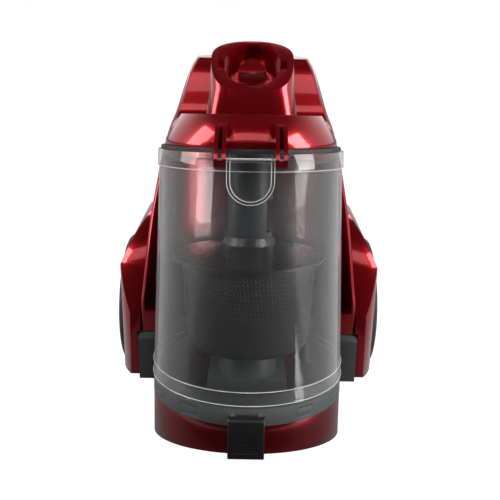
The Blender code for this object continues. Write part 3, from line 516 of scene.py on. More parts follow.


# The second red look is the body's red at under half the brightness, given to the bottom cover as
# painted shade.
LOOKS = {"red": gloss_red("red_metallic_gloss", 0.86), "shaded red": gloss_red("shaded_red_gloss", 0.40),
         "black": plastic("black_satin_plastic", (0.004, 0.004, 0.005), (0.010, 0.010, 0.011), 0.32,
                          dust=(0.10, 0.10, 0.10)), "charcoal": plastic("charcoal_moulded",
        (0.026, 0.028, 0.030), (0.046, 0.049, 0.052), 0.44, 1100.0, 0.16, (0.16, 0.16, 0.155)),
         "grey": plastic("grey_moulded", (0.050, 0.053, 0.055), (0.078, 0.082, 0.084), 0.40, 1100.0,
                         0.12, (0.2, 0.2, 0.19)), "clear": clear_plastic(), "edge": painted_edge_highlight(),
         "rubber": rubber("soft_black_rubber", (0.008, 0.008, 0.008), (0.020, 0.020, 0.020)),
         "tyre": rubber("tyre_rubber", (0.010, 0.010, 0.010), (0.024, 0.024, 0.023)), "steel": metal(),
         "foam": filter_foam(), "shroud": perforated(), "swirl": swirled(), }
BODY_OF = {node: body for body, members in frame["record"]["behaviour"]["bodies"].items()
           for node in members}
SLOT_OF = {item["node"]: item["material_slot"] for item in frame["record"]["subparts"]}


def dress(obj, node, look, place=MACHINE, edge=0.0, angle=35):
    """Puts a fine piece where its frame is, gives it its look and lets it stand for a node."""
    bake(obj)
    obj.data.transform(place)
    obj.name = "fine_" + node
    obj.data.name = obj.name
    obj.data.materials.clear()
    obj.data.materials.append(LOOKS[look])
    if edge:
        rounded = obj.modifiers.new("edges", "BEVEL")
        rounded.width = edge
        rounded.segments = 2
        rounded.limit_method = "ANGLE"
        rounded.angle_limit = math.radians(32)
        rounded.use_clamp_overlap = True
        bake(obj)
    smooth(obj, angle)
    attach(obj, BODY_OF[node])
    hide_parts(node)
    return obj


def chaikin(points, rounds=2, closed=True):
    """Rounds a polygon by cutting its corners."""
    for _ in range(rounds):
        rounded = []
        count = len(points)
        for i in range(count if closed else count - 1):
            one, two = np.array(points[i]), np.array(points[(i + 1) % count])
            rounded += [tuple(one * 0.75 + two * 0.25), tuple(one * 0.25 + two * 0.75)]
        points = rounded if closed else [points[0]] + rounded + [points[-1]]
    return points


def eased(rows, parts_each=4):
    """Rows with smooth in-between rows, by monotone cubic steps."""
    rows = np.array(rows, float)
    heights = rows[:, 0]
    gaps = np.diff(heights)[:, None]
    slopes = np.diff(rows, axis=0) / gaps
    mean = np.zeros_like(rows)
    mean[0], mean[-1] = slopes[0], slopes[-1]
    same = slopes[:-1] * slopes[1:] > 0
    mean[1:-1] = np.where(same, 2 * slopes[:-1] * slopes[1:] / np.where(same, slopes[:-1] + slopes[1:],
            1), 0)
    made = []
    for i in range(len(rows) - 1):
        for step in range(parts_each):
            t = step / parts_each
            h = heights[i + 1] - heights[i]
            made.append(rows[i] * (2 * t ** 3 - 3 * t ** 2 + 1) + mean[i] * h
                        * (t ** 3 - 2 * t ** 2 + t) + rows[i + 1] * (3 * t ** 2 - 2 * t ** 3)
                        + mean[i + 1] * h * (t ** 3 - t ** 2))
    made.append(rows[-1])
    return [tuple(float(v) for v in row) for row in made]


def wrap(obj, slope=0.0):
    """A UV map of distance around and up a turned shape that still stands on its own axis."""
    layer = obj.data.uv_layers.new(name="wrap")
    for face in obj.data.polygons:
        angles = [math.atan2(obj.data.vertices[v].co.y, obj.data.vertices[v].co.x)
                  for v in face.vertices]
        if max(angles) - min(angles) > math.pi:
            angles = [a + 2 * math.pi if a < 0 else a for a in angles]
        for loop, v, angle in zip(face.loop_indices, face.vertices, angles):
            point = obj.data.vertices[v].co
            reach = math.hypot(point.x, point.y)
            layer.data[loop].uv = (angle * SHROUD_R, point.z + slope * reach)
    return obj


# ---- fine shapes -----------------------------------------------------------------------------

# Height, half-width at the front edge, half-width at the middle, front and rear of the upper body.
BODY_SECTIONS = (
    (0.0860, 0.0945, 0.0970, 0.0360, 0.2510), (0.1050, 0.0935, 0.0965, 0.0330, 0.2540),
    (0.1180, 0.0925, 0.0960, 0.0322, 0.2553), (0.1300, 0.0912, 0.0950, 0.0355, 0.2560),
    (0.1600, 0.0885, 0.0925, 0.0445, 0.2563), (0.1900, 0.0850, 0.0890, 0.0545, 0.2530),
    (0.2150, 0.0808, 0.0860, 0.0640, 0.2460), (0.2350, 0.0772, 0.0820, 0.0780, 0.2380),
    (0.2500, 0.0745, 0.0780, 0.0980, 0.2310), (0.2620, 0.0705, 0.0735, 0.1240, 0.2250),
    (0.2850, 0.0625, 0.0660, 0.1340, 0.2120), (0.3040, 0.0565, 0.0590, 0.1425, 0.1990),
    (DECK_Z, 0.0515, 0.0535, 0.1500, 0.1890),
)
FINE_SECTIONS = eased(BODY_SECTIONS)


def body_ring(height, front_half, middle_half, front, rear, grow=0.0):
    """One outline of the upper body: straight front, bowed sides and a rounded back."""
    corner = 0.0020
    front_half, middle_half = front_half + grow, middle_half + grow
    front, rear = front - grow, rear + grow
    shoulder = front + 0.42 * (rear - front)
    side = [(front_half - corner, front), (front_half, front + corner)]
    for share in (0.12, 0.24, 0.36, 0.48, 0.6, 0.72, 0.84, 0.94):
        bow = math.sin(share * math.pi / 2)
        side.append((front_half + (middle_half - front_half) * bow,
                     front + corner + (shoulder - front - corner) * share))
    for step in range(25):
        angle = step / 24 * math.pi / 2
        side.append((middle_half * math.cos(angle) ** 0.72, shoulder + (rear - shoulder)
                     * math.sin(angle) ** 0.85))
    mirrored = [(-x, y) for x, y in reversed(side[:-1])]
    return [(x, y, height) for x, y in side + mirrored]


def body_solid(grow=0.0, low=0.0, high=0.0, sections=None):
    """The upper body's outer form, grown on all sides and lengthened at its ends."""
    sections = sections or FINE_SECTIONS
    rings = [body_ring(*section, grow=grow) for section in sections]
    rings[0] = [(x, y, z - low) for x, y, z in rings[0]]
    rings[-1] = [(x, y, z + high) for x, y, z in rings[-1]]
    return loft(rings)


def recess(grow=0.0):
    """The space that the bin lifts out of: wide below, narrow above, with a step near the foot."""
    wide, narrow = RECESS_WIDE_R + grow, RECESS_R + grow
    profile = [(0, 0.40), (narrow, 0.40), (narrow, 0.190), (wide, RECESS_STEP - grow),
               (narrow, RECESS_STEP - grow - 0.0005), (narrow, -0.10), (0, -0.10)]
    return tilted(turned(profile, 128))


def main_body_shell():
    """The red upper body: a thin wall, openings for the controls and two lugs for the handle."""
    shell = body_solid()
    room = body_solid(-WALL, low=0.02, high=-WALL, sections=[
        (z, edge, middle, front + (CHEEK_DEPTH if z < SHOULDER_Z else SHOULDER_DEPTH), rear)
        for z, edge, middle, front, rear in FINE_SECTIONS])
    cut(room, recess(WALL))
    cut(shell, recess(), room)
    for side in (-1, 1):
        x = side * BUTTON_X
        cut(shell, box((x - 0.0103, BUTTON_Y - 0.0093, 0.300), (x + 0.0103, BUTTON_Y + 0.0093, 0.330)))
    cut(shell, rod(0.0030 + 2 * RUN, (0, BUTTON_Y, 0.300), (0, BUTTON_Y, 0.330)))
    cut(shell, box((-WINDOW_X, 0.236, WINDOW_LOW), (WINDOW_X, 0.270, WINDOW_HIGH)))
    cut(shell, rod(0.0090, (0, 0.240, 0.205), (0, 0.262, 0.205)))
    cut(shell, box((-0.036, 0.070, 0.060), (0.036, 0.112, 0.110)))
    for side in (-1, 1):
        x = side * 0.0290
        lug = plate([(0.1900, 0.2980), (0.2140, 0.2680), (0.2140, 0.3060), (0.2105, 0.3095),
                     (0.2040, 0.3095)], x - 0.0035, x + 0.0035, "X")
        join(shell, lug)
        cut(shell, rod(0.0020 + RUN, (x - 0.006, HANDLE_Y, HANDLE_Z), (x + 0.006, HANDLE_Y, HANDLE_Z),
                       16))
    dress(shell, "main_body_shell", "red", MACHINE, 0.0006, 30)


def lower_chassis():
    """The black tub, with two arms that reach forward beside the bin."""
    levels = ((0.014, 0.082, 0.118, 0.230), (0.022, 0.090, 0.115, 0.240),
              (0.050, 0.0955, 0.115, 0.2465), (SEAM_Z - GAP, 0.0968, 0.115, 0.2508))

    def tub(grow, low, high):
        rings = [body_ring(z, half + grow, half + grow, front - grow, rear + grow)
                 for z, half, front, rear in levels]
        rings[0] = [(x, y, z + low) for x, y, z in rings[0]]
        rings[-1] = [(x, y, z + high) for x, y, z in rings[-1]]
        return loft(rings)
    chassis = tub(0, 0, 0)
    for side in (-1, 1):
        outline = [(0.0340, 0.0395), (0.0340, 0.0790), (0.0380, SEAM_Z - GAP), (0.1200, SEAM_Z - GAP),
                   (0.1200, 0.0380), (0.0355, 0.0380)]
        low, high = sorted((side * 0.0600, side * 0.0968))
        join(chassis, plate(outline, low, high, "X"))
    cut(chassis, recess(), tub(-WALL, WALL, 0.01))
    cut(chassis, box((-0.0600, 0.060, 0.0200), (0.0600, 0.1149, 0.0900)))
    for side in (-1, 1):
        cut(chassis, rod(0.0040 + RUN, (side * CASTER_X, CASTER_Y, 0.030),
                         (side * CASTER_X, CASTER_Y, 0.062), 20))
        join(chassis, rod(0.0095, (side * 0.0850, WHEEL_Y, WHEEL_Z), (side * 0.0990, WHEEL_Y, WHEEL_Z)))
        cut(chassis, rod(AXLE_R + GAP, (side * 0.080, WHEEL_Y, WHEEL_Z),
                         (side * 0.110, WHEEL_Y, WHEEL_Z)))
    cut(chassis, box((-0.034, 0.110, 0.0470), (0.034, 0.122, 0.0900)))
    dress(chassis, "lower_chassis", "charcoal", MACHINE, 0.0009, 30)


def fender(side):
    """A red side panel that covers the front and top of a rear wheel."""
    profile = [(0.0365, 0.0420), (0.0340, 0.1045), (0.0560, 0.1500), (0.0800, 0.1740), (0.1000, 0.1800),
               (0.1350, 0.1760), (0.1700, 0.1620), (0.2000, 0.1380), (0.2200, 0.1080), (0.2260, 0.0800),
               (0.2150, 0.0700), (0.0700, 0.0380)]
    front_view = [(0.080, 0.185), (0.0895, 0.182), (0.0965, 0.173), (0.1068, 0.158), (0.1180, 0.131),
                  (0.1216, 0.105), (0.1216, 0.070), (0.1150, 0.030), (0.080, 0.030)]
    plan = [(0.080, 0.030), (0.1000, 0.030), (0.1114, 0.045), (0.1176, 0.070), (0.1211, 0.105),
            (0.1221, 0.150), (0.1180, 0.190), (0.1100, 0.230), (0.080, 0.230)]

    profile = profile[:1] + chaikin(profile[1:9], 3, False) + chaikin(profile[9:], 1, False)
    front_view = front_view[:1] + chaikin(front_view[1:8], 2, False) + front_view[8:]
    plan = plan[:1] + chaikin(plan[1:8], 3, False) + plan[8:]

    def solid(inset):
        centre = (0.130, 0.110)
        shrink = [(y - inset * np.sign(y - centre[0]), z - inset * np.sign(z - centre[1]))
                  for y, z in profile]
        made = plate(shrink, 0.060, 0.130, "X")
        keep(made, plate([(x - inset if x > 0.081 else x, z) for x, z in front_view], 0.000, 0.300,
                         "Y"))
        keep(made, plate([(x - inset if x > 0.081 else x, y) for x, y in plan], 0.000, 0.300, "Z"))
        return made
    panel = solid(0)
    cut(panel, solid(WALL))
    cut(panel, rod(WHEEL_R + 0.0035, (0.0985, WHEEL_Y, WHEEL_Z), (0.140, WHEEL_Y, WHEEL_Z), 48))
    ahead = body_solid(GAP, low=0.10)
    ahead.data.transform(Matrix.Translation((0, -0.004, 0)))
    cut(panel, body_solid(GAP, low=0.10), ahead, box((0.05, 0.0, 0.0),
            (WHEEL_SIDE, 0.30, SEAM_Z + GAP)))
    cut(panel, rod(0.0098, (0.09, WHEEL_Y, WHEEL_Z), (0.0995, WHEEL_Y, WHEEL_Z)))
    if side < 0:
        panel.data.transform(Matrix.Scale(-1, 4, (1, 0, 0)))
        panel.data.flip_normals()
    dress(panel, "fender_right" if side > 0 else "fender_left", "red", MACHINE, 0.0008, 30)


def rear_wheel(side):
    """Tyre with rounded, grooved tread, ribbed wheel and domed hub cap on one side."""
    word = "right" if side > 0 else "left"
    centre, axis = (0, WHEEL_Y, WHEEL_Z), "X" if side > 0 else "-X"
    inner, outer = WHEEL_IN, WHEEL_OUT
    round_out = [(0.0610 + 0.005 * math.sin(a), outer - 0.005 + 0.005 * math.cos(a))
                 for a in np.linspace(0, math.pi / 2, 9)]
    round_in = [(r, inner + outer - x) for r, x in reversed(round_out)]
    groove = []
    for middle in (outer - 0.0085, (outer + inner) / 2, inner + 0.0085):
        groove += [(WHEEL_R, middle + 0.0007), (WHEEL_R - 0.0009, middle + 0.0004),
                   (WHEEL_R - 0.0009, middle - 0.0004), (WHEEL_R, middle - 0.0007)]
    profile = [(0.0560, outer - 0.003), (0.0575, outer - 0.001)] + round_out + groove + round_in
    profile += [(0.0575, inner + 0.001), (0.0560, inner + 0.003)]
    dress(turned(profile, 128, centre, axis), "tyre_" + word, "tyre", MACHINE)
    bore = AXLE_R + RUN
    rim = turned([(bore, outer - 0.002), (0.0185, outer - 0.002), (0.0190, outer - 0.006),
                  (0.0300, outer - 0.0085), (0.0480, outer - 0.007), (0.0520, outer - 0.0005),
                  (0.0557, outer - 0.0035), (0.0557, inner + 0.0035), (0.0520, inner + 0.002),
                  (0.0480, inner + 0.012), (0.0150, inner + 0.012), (0.0120, inner), (bore, inner)],
                 128, centre, axis)
    for spoke in range(WHEEL_RIBS):
        rib = box((0, 0.0180, -0.0032), (0.0060, 0.0505, 0.0032), 0.0008, 2)
        bake(rib)
        if side < 0:
            rib.data.transform(Matrix.Translation((-0.0060, 0, 0)))
        rib.data.transform(Matrix.Translation((side * (outer - 0.0083), WHEEL_Y, WHEEL_Z))
                           @ Matrix.Rotation(2 * math.pi * spoke / WHEEL_RIBS, 4, "X"))
        join(rim, rib)
    dress(rim, "wheel_" + word, "charcoal", MACHINE, 0.0004)
    dome = [(0.0170 * math.sin(a), outer - 0.0005 + 0.0025 * math.cos(a))
            for a in np.linspace(0, math.pi / 2, 10)]
    cap = turned(dome[:-1] + [(0.0180, outer - 0.0006), (0.0180, outer - 0.0017), (0, outer - 0.0017)],
                 96, centre, axis)
    dress(cap, "hub_cap_" + word, "red", MACHINE)


def caster_roller(side):
    """A small rubber roller with rounded shoulders."""
    word = "right" if side > 0 else "left"
    half, x, y = 0.0058, side * CASTER_X, CASTER_Y + CASTER_TRAIL
    shoulder = [(CASTER_R - 0.0015 + 0.0015 * math.sin(a), half - 0.0015 + 0.0015 * math.cos(a))
                for a in np.linspace(0, math.pi / 2, 6)]
    profile = [(0.0020 + RUN, half - 0.0010), (0.0070, half - 0.0010), (0.0078, half)] + shoulder
    profile += [(r, -h) for r, h in reversed(profile)]
    dress(turned(profile, 64, (x, y, CASTER_R), "X"), "caster_wheel_" + word, "rubber", MACHINE)


def carry_handle():
    """A bail folded down against the sloping back."""
    slope = math.radians(-52.6)
    reach, bend = 0.056, 0.010
    along = Vector((0, math.cos(slope), math.sin(slope)))
    pivot = Vector((0, HANDLE_Y, HANDLE_Z))
    corner = [(bend * (1 - math.cos(a)), bend * math.sin(a)) for a in (0, 0.2, 0.4, 0.6, 0.8, 1.0, 1.2,
            1.4, math.pi / 2)]
    half = [Vector((0.0385 - dx, 0, 0)) + pivot + along * (reach - bend + dy) for dx, dy in corner]
    path = [Vector((0.0385, 0, 0)) + pivot - along * 0.004] + half
    path += [Vector((-p.x, p.y, p.z)) for p in reversed(path)]
    bail = tube(path, 0.0045, 5)
    for side in (-1, 1):
        cut(bail, rod(0.0020 + GAP, (side * 0.0330, HANDLE_Y, HANDLE_Z),
                      (side * 0.0450, HANDLE_Y, HANDLE_Z), 24))
    dress(bail, "carry_handle", "black", MACHINE)


def dial():
    """The suction dial with a grip of small flutes and a pointer rib."""
    knob = turned([(0, 0.3200), (0.0090, 0.3200), (0.0102, 0.3194), (0.0108, 0.3180),
                   (0.0110, DECK_Z + GAP), (0.0030, DECK_Z + GAP), (0.0030, 0.2870), (0, 0.2870)], 96,
                  (0, BUTTON_Y, 0))
    for step in range(DIAL_FLUTES):
        angle = 2 * math.pi * step / DIAL_FLUTES
        x, y = 0.0114 * math.cos(angle), BUTTON_Y + 0.0114 * math.sin(angle)
        cut(knob, rod(0.0008, (x, y, DECK_Z + 0.0012), (x, y, 0.325), 12))
    join(knob, box((-0.0008, BUTTON_Y + 0.002, 0.3190), (0.0008, BUTTON_Y + 0.0090, 0.3206), 0.0002))
    dress(knob, "suction_dial", "charcoal", MACHINE)


def buttons():
    """Two rounded push buttons."""
    for side, name in ((-1, "power_button"), (1, "rewind_button")):
        x = side * BUTTON_X
        cap = box((x - 0.0100, BUTTON_Y - 0.0090, 0.3010), (x + 0.0100, BUTTON_Y + 0.0090, 0.3155),
                  0.0016, 4)
        bake(cap)
        join(cap, box((x - 0.0120, BUTTON_Y - 0.0110, 0.3010), (x + 0.0120, BUTTON_Y + 0.0110, 0.3030)))
        dress(cap, name, "black", MACHINE)


def loop_outline(half, top, low):
    """A U outline in x and z: square above, half round below."""
    turn = [math.pi + math.pi * i / 40 for i in range(41)]
    bow = [(half * math.cos(a), low + half + half * math.sin(a)) for a in turn]
    return [(half, top), (-half, top)] + bow


def bin_cylinder():
    """The clear cylinder with its flange, lug and hinge bore."""
    flare = (BIN_R_LOW - BIN_R_TOP) / (BIN_TOP - BIN_LOW)
    band = 0.1915
    glass = turned([(BIN_R_TOP + 0.0012, BIN_TOP), (BIN_R_TOP + 0.0015, band),
                    (BIN_R_TOP + 0.0003, band - 0.001), (BIN_R_LOW, BIN_LOW),
                    (BIN_R_LOW - WALL, BIN_LOW), (BIN_R_TOP - WALL, BIN_TOP)])
    lug = plate(loop_outline(0.0165, 0.2030, 0.1690), LUG_FRONT, -0.0705, "Y")
    cut(lug, plate(loop_outline(0.0140, 0.2100, 0.1715), -0.0900, -0.0680, "Y"))
    for vert in lug.data.vertices:
        vert.co.y += LUG_LEAN * max(0.0, LUG_BEND - vert.co.z) if vert.co.y < -0.0750 else 0.0
    cut(lug, box((-0.03, -0.0735, 0.2035), (0.03, -0.0600, 0.21)))
    inside = [(BIN_R_TOP - 0.001 + flare * (BIN_TOP - z), z) for z in (0.30, 0.10)]
    cut(lug, turned([(0, 0.30), *inside, (0, 0.10)]))
    join(glass, lug)
    cut(glass, rod(0.0015 + RUN, (-0.02, HINGE_Y, HINGE_Z), (0.02, HINGE_Y, HINGE_Z), 16))
    dress(glass, "bin_cylinder", "clear", BIN, 0.0004)


def base_ring():
    """The ring under the bin: filter channel, centre post, hinge knuckles and bayonet marks."""
    ring = turned([(BIN_R_LOW, BIN_LOW - GAP), (BIN_R_LOW, RING_LOW), (0.0730, RING_LOW),
                   (0.0730, 0.0300), (BIN_R_LOW - WALL - GAP, 0.0300),
                   (BIN_R_LOW - WALL - GAP, BIN_LOW - GAP)])
    channel = box((-0.0320, -0.0260, 0.0095), (0.0320, 0.0705, BIN_LOW - GAP))
    join(ring, channel, rod(0.0240, (0, 0, 0.0200), (0, 0, SHROUD_LOW - GAP), 64))
    cut(ring, box((-0.0300, -0.0240, 0.0115), (0.0300, 0.0900, 0.0190)),
        rod(0.0215, (0, 0, 0.0150), (0, 0, 0.0600), 64))
    cut(ring, box((-0.0100, 0.0740, 0.0000), (0.0100, 0.0900, 0.0093)))
    for side in (-1, 1):
        low, high = sorted((side * 0.0100, side * 0.0190))
        join(ring, rod(COVER_KNUCKLE_R, (low, *COVER_HINGE), (high, *COVER_HINGE), 16))
    cut(ring, rod(COVER_PIN_R + RUN, (-0.03, *COVER_HINGE), (0.03, *COVER_HINGE), 12))
    for x in (-0.0100, 0.0100):
        join(ring, box((x - 0.0018, -0.0835, 0.0100), (x + 0.0018, -0.0755, 0.0170)))
    cut(ring, rod(0.0012 + RUN, (-0.02, LATCH_Y, LATCH_Z), (0.02, LATCH_Y, LATCH_Z), 12))
    for angle in (-62, -34, 34, 62, 118, -118):
        mark = box((-0.0085, -0.0790, 0.0100), (0.0085, -BIN_R_LOW + 0.0005, 0.0172))
        inner_mark = box((-0.0076, -0.0800, 0.0109), (0.0076, -0.0700, 0.0163))
        cut(mark, inner_mark)
        mark.data.transform(Matrix.Rotation(math.radians(angle), 4, "Z"))
        cut(ring, mark)
    dress(ring, "base_ring", "grey", BIN, 0.0004)


def shroud_parts():
    """The tapered shroud, its flared skirt and the inlet tube above."""
    low, top = SHROUD_LOW, SHROUD_TOP
    shroud = turned([(0.0400, top), (SHROUD_R, top), (SHROUD_R - 0.0040, low + 0.0090),
                     (SHROUD_R - 0.0062, low + 0.0028), (SHROUD_R - 0.0105, low), (0.0220, low),
                     (0.0220, low + 0.0020), (SHROUD_R - 0.0115, low + 0.0020),
                     (SHROUD_R - 0.0080, low + 0.0042), (SHROUD_R - 0.0060, low + 0.0095),
                     (SHROUD_R - 0.0020, top - 0.0020), (0.0400, top - 0.0020)])
    dress(wrap(shroud), "shroud", "shroud", BIN)
    foot, top = SHROUD_TOP + GAP, SKIRT_TOP
    skirt = turned([(TUBE_R - 0.0040, top), (TUBE_R + GAP, top), (TUBE_R + GAP, top + 0.0100),
                    (TUBE_R + 0.0012, top + 0.0100), (TUBE_R + 0.0035, top + 0.0040),
                    (TUBE_R + 0.0100, top + 0.0008), (0.0400, top - 0.0015), (SKIRT_R, top - 0.0050),
                    (SKIRT_R, top - 0.0072), (0.0470, top - 0.0056), (0.0460, foot), (0.0410, foot),
                    (0.0410, top - 0.0046), (TUBE_R - 0.0040, top - 0.0030)])
    dress(wrap(skirt, 1.0), "shroud_skirt", "swirl", BIN)
    pipe = turned([(TUBE_R, LID_TOP - 0.006), (TUBE_R, SKIRT_TOP + GAP),
                   (TUBE_R - TUBE_WALL, SKIRT_TOP + GAP), (TUBE_R - TUBE_WALL, LID_TOP - 0.006)])
    cut(pipe, box((0.0, -0.012, SKIRT_TOP + 0.014), (0.030, 0.012, SKIRT_TOP + 0.040)))
    dress(pipe, "inlet_tube", "charcoal", BIN, 0.0003)


def bin_lid():
    """The red lid with two forked hinge arms, and its seal."""
    inner = 0.0025
    lid = turned([(0, LID_TOP), (LID_TOP_R, LID_TOP), (LID_R, LID_RIM), (LID_R, LID_LOW),
                  (LID_R - 0.003, LID_LOW), (LID_R - 0.003, LID_RIM - 0.0015),
                  (LID_TOP_R - 0.002, LID_TOP - inner), (0, LID_TOP - inner)])
    for side in (-1, 1):
        outline = [(-0.0560, 0.2240), (-0.0650, 0.2110), (-0.0672, 0.2078), (-0.0750, 0.2060),
                   (-0.0765, 0.1960), (-0.0800, 0.1945), (-0.0845, 0.1960), (-0.0862, 0.2010),
                   (-0.0830, 0.2080), (-0.0700, 0.2240)]
        low, high = sorted((side * 0.0168, side * 0.0250))
        join(lid, plate(outline, low, high, "X"))
    for side in (-1, 1):
        low, high = sorted((side * 0.0194, side * 0.0224))
        cut(lid, box((low, -0.0900, 0.1985), (high, -0.0690, 0.2300)))
    cut(lid, rod(0.0160, (0, 0, 0.20), (0, 0, 0.25), 64), rod(0.0015 + RUN, (-0.03, HINGE_Y, HINGE_Z),
            (0.03, HINGE_Y, HINGE_Z), 16))
    dress(lid, "bin_lid", "red", BIN, 0.0006)
    seal = turned([(0.0712, LID_LOW - GAP), (0.0716, BIN_TOP + GAP), (0.0660, BIN_TOP + GAP),
                   (0.0660, LID_LOW - GAP)])
    dress(seal, "lid_seal", "rubber", BIN, 0.0003)


def hose_port():
    """A rounded column on the lid, cut off by a slanted mouth with a round socket."""
    def oval(half, front, back, power, height):
        turn = [2 * math.pi * i / 112 for i in range(112)]
        middle, reach = (front + back) / 2, (back - front) / 2
        return [(half * math.copysign(abs(math.cos(a)) ** power, math.cos(a)),
                 middle + reach * math.copysign(abs(math.sin(a)) ** power, math.sin(a)), height)
                for a in turn]
    port = loft([oval(0.0350, PORT_FRONT - 0.001, PORT_BACK, 0.50, LID_TOP + GAP),
                 oval(0.0325, PORT_FRONT, PORT_BACK - 0.0040, 0.58, 0.250),
                 oval(PORT_HALF, PORT_FRONT, PORT_BACK - 0.0160, 0.75, 0.268),
                 oval(PORT_HALF - 0.0008, PORT_FRONT, PORT_BACK - 0.0295, 0.95, 0.2880)])
    mouth = Vector((0, *MOUTH_CENTRE))
    normal = Vector((0, -math.cos(MOUTH_TILT), math.sin(MOUTH_TILT)))
    turn = Matrix.Translation(mouth) @ normal.to_track_quat("Z", "Y").to_matrix().to_4x4()
    front = box((-0.1, -0.1, 0), (0.1, 0.1, 0.1))
    front.data.transform(turn)
    cut(port, front, rod(MOUTH_BORE_R, mouth + normal * 0.01, mouth - normal * 0.026, 96),
        rod(0.0160, (0, 0, 0.22), (0, 0, 0.255), 64))
    for side in (-1, 1):
        low, high = sorted((side * 0.0190, side * 0.0262))
        notch = box((low, -0.0042, -0.0100), (high, 0.0042, 0.0100), 0.0008, 2)
        bake(notch)
        notch.data.transform(turn)
        cut(port, notch)
    dress(port, "hose_port", "red", BIN, 0.0009, 30)


def bottom_cover():
    """The red cup that closes the bin: round above, flat below and swept up at the front."""
    def cup(radius, inset, top):
        solid = rod(radius, (0, 0, -0.060), (0, 0, top), 128)
        flat = box((-0.1, -0.1, -0.1), (0.1, 0.1, 0))
        flat.data.transform(Matrix.Translation((0, 0, -0.0310 + inset)) @ Matrix.Rotation(TILT, 4, "X"))
        sweep = box((-0.1, -0.2, -0.1), (0.1, 0.1, 0))
        sweep.data.transform(Matrix.Translation((0, -0.004, -0.0310 + inset))
                             @ Matrix.Rotation(math.radians(-13), 4, "X"))
        return cut(solid, flat, sweep)
    cover = cup(CUP_R, 0, CUP_TOP)
    cut(cover, cup(CUP_R - WALL, WALL, CUP_TOP + 0.02))
    for side in (-1, 1):
        low, high = sorted((side * 0.0097, side * 0.0193))
        cut(cover, box((low, 0.0735, 0.0050), (high, 0.0900, 0.0200)))
    join(cover, rod(COVER_KNUCKLE_R, (-0.0097, *COVER_HINGE), (0.0097, *COVER_HINGE), 16))
    cut(cover, rod(COVER_PIN_R + GAP, (-0.03, *COVER_HINGE), (0.03, *COVER_HINGE), 12))
    join(cover, box((-0.0080, -0.0800, -0.0060), (0.0080, -0.0762, -0.0030)))
    # The cover gets the darkened copy of the body red: painted shade on the low cup.
    dress(cover, "bottom_cover", "shaded red", BIN, 0.0006, 30)


def front_latch():
    """The black latch with three grip grooves."""
    outline = [(-0.0870, 0.0185), (-0.0892, 0.0160), (-0.0895, -0.0100), (-0.0880, -0.0125),
               (-0.0812, -0.0125), (-0.0812, -0.0065), (-0.0845, -0.0065), (-0.0845, 0.0090),
               (-0.0812, 0.0090), (-0.0812, 0.0170), (-0.0820, 0.0185)]
    latch = plate(outline, -0.0131, 0.0131, "X", 0.0006)
    bake(latch)
    for x in (-0.0100, 0.0100):
        cut(latch, box((x - 0.0024, -0.0850, 0.0060), (x + 0.0024, -0.0700, 0.0200)))
    cut(latch, rod(0.0012 + GAP, (-0.02, LATCH_Y, LATCH_Z), (0.02, LATCH_Y, LATCH_Z), 12))
    groove = box((-0.0085, -0.0905, -0.0075), (0.0085, -0.0888, -0.0060), 0.0003)
    grip = [box((-0.0085, -0.0905, z), (0.0085, -0.0890, z + 0.0009))
            for z in (-0.0050, -0.0026, -0.0002)]
    cut(latch, groove, *grip)
    dress(latch, "front_latch", "black", BIN, 0.0005)


def highlight_bead(name, points, radius, body="dust_bin"):
    """A thin pale tube along a moulded edge of the clear bin, carrying a painted highlight line."""
    line = tube(points, radius, 2)
    line.data.transform(BIN)
    line.name = name
    line.data.materials.clear()
    # The pale look paints the highlight that light would draw along this edge.
    line.data.materials.append(LOOKS["edge"])
    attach(line, body)


def bin_edge_highlights():
    """Painted highlight lines along moulded edges on the bin: two rings near the foot, one under the
    flange and the lug's outline.
    """
    for name, radius, height in (("foot_ring_low_highlight", 0.0779, 0.0228), ("foot_ring_high_highlight", 0.0777, 0.0330),
                                 ("flange_ring_highlight", 0.0738, 0.1918)):
        turn = [2 * math.pi * i / 128 for i in range(129)]
        highlight_bead(name, [(radius * math.cos(a), radius * math.sin(a), height) for a in turn], 0.00035)
    for name, half, low in (("lug_outline_highlight", 0.0163, 0.1692), ("lug_inner_outline_highlight", 0.0141, 0.1714)):
        outline = loop_outline(half, 0.2010, low)
        outline = outline[1:] + outline[:1]
        highlight_bead(name, [(x, LUG_FRONT + LUG_LEAN * max(0.0, LUG_BEND - z), z) for x, z in outline], 0.00028)


def carried_over():
    """Materials for the nodes that keep their own shape."""
    by_slot = {"red_shell": "red", "black_plastic": "black", "charcoal_plastic": "charcoal",
               "clear_bin": "clear", "rubber": "rubber", "tyre_rubber": "tyre", "steel": "steel",
               "foam": "foam", "shroud_black": "black"}
    for name, node in frame["nodes"].items():
        look = LOOKS[by_slot[SLOT_OF[name]]]
        node.data.materials.clear()
        node.data.materials.append(look)


# ---- studio ----------------------------------------------------------------------------------

def softbox(name, place, aim, width, height, power):
    """A rectangular area light that points at a place."""
    light = bpy.data.lights.new(name, "AREA")
    light.shape = "RECTANGLE"
    light.size, light.size_y = width, height
    light.energy = power
    obj = bpy.data.objects.new(name, light)
    obj.location = place
    obj.rotation_euler = (Vector(aim) - Vector(place)).to_track_quat("-Z", "Y").to_euler()
    bpy.context.scene.collection.objects.link(obj)


def pale_floor():
    """A floor that looks white, and that the object reflects dark in front and pale around."""
    floor = from_bmesh(lambda bm: bmesh.ops.create_circle(bm, cap_ends=True, segments=96, radius=6.0),
                       "floor")
    n = Nodes("pale_floor")
    seen = n.add("ShaderNodeLightPath").outputs["Is Camera Ray"]
    across = n.add("ShaderNodeSeparateXYZ")
    n.link(n.place, across.inputs[0])
    sideways = n.span(n.maths("ABSOLUTE", across.outputs[0]), 0.34, 0.58, 0.0, 1.0)
    away = n.maths("MAXIMUM", sideways, n.span(across.outputs[1], -0.25, 0.10, 0.0, 1.0))
    lit = n.mix(away, (0.02, 0.02, 0.02), (0.42, 0.42, 0.42))
    n.set(Base_Color=n.mix(seen, lit, (0.16, 0.16, 0.16)), Roughness=0.75)
    n.set(Specular_IOR_Level=0.1, Emission_Color=(1, 1, 1, 1),
          Emission_Strength=n.maths("MULTIPLY", seen, 0.95))
    floor.data.materials.append(n.material)


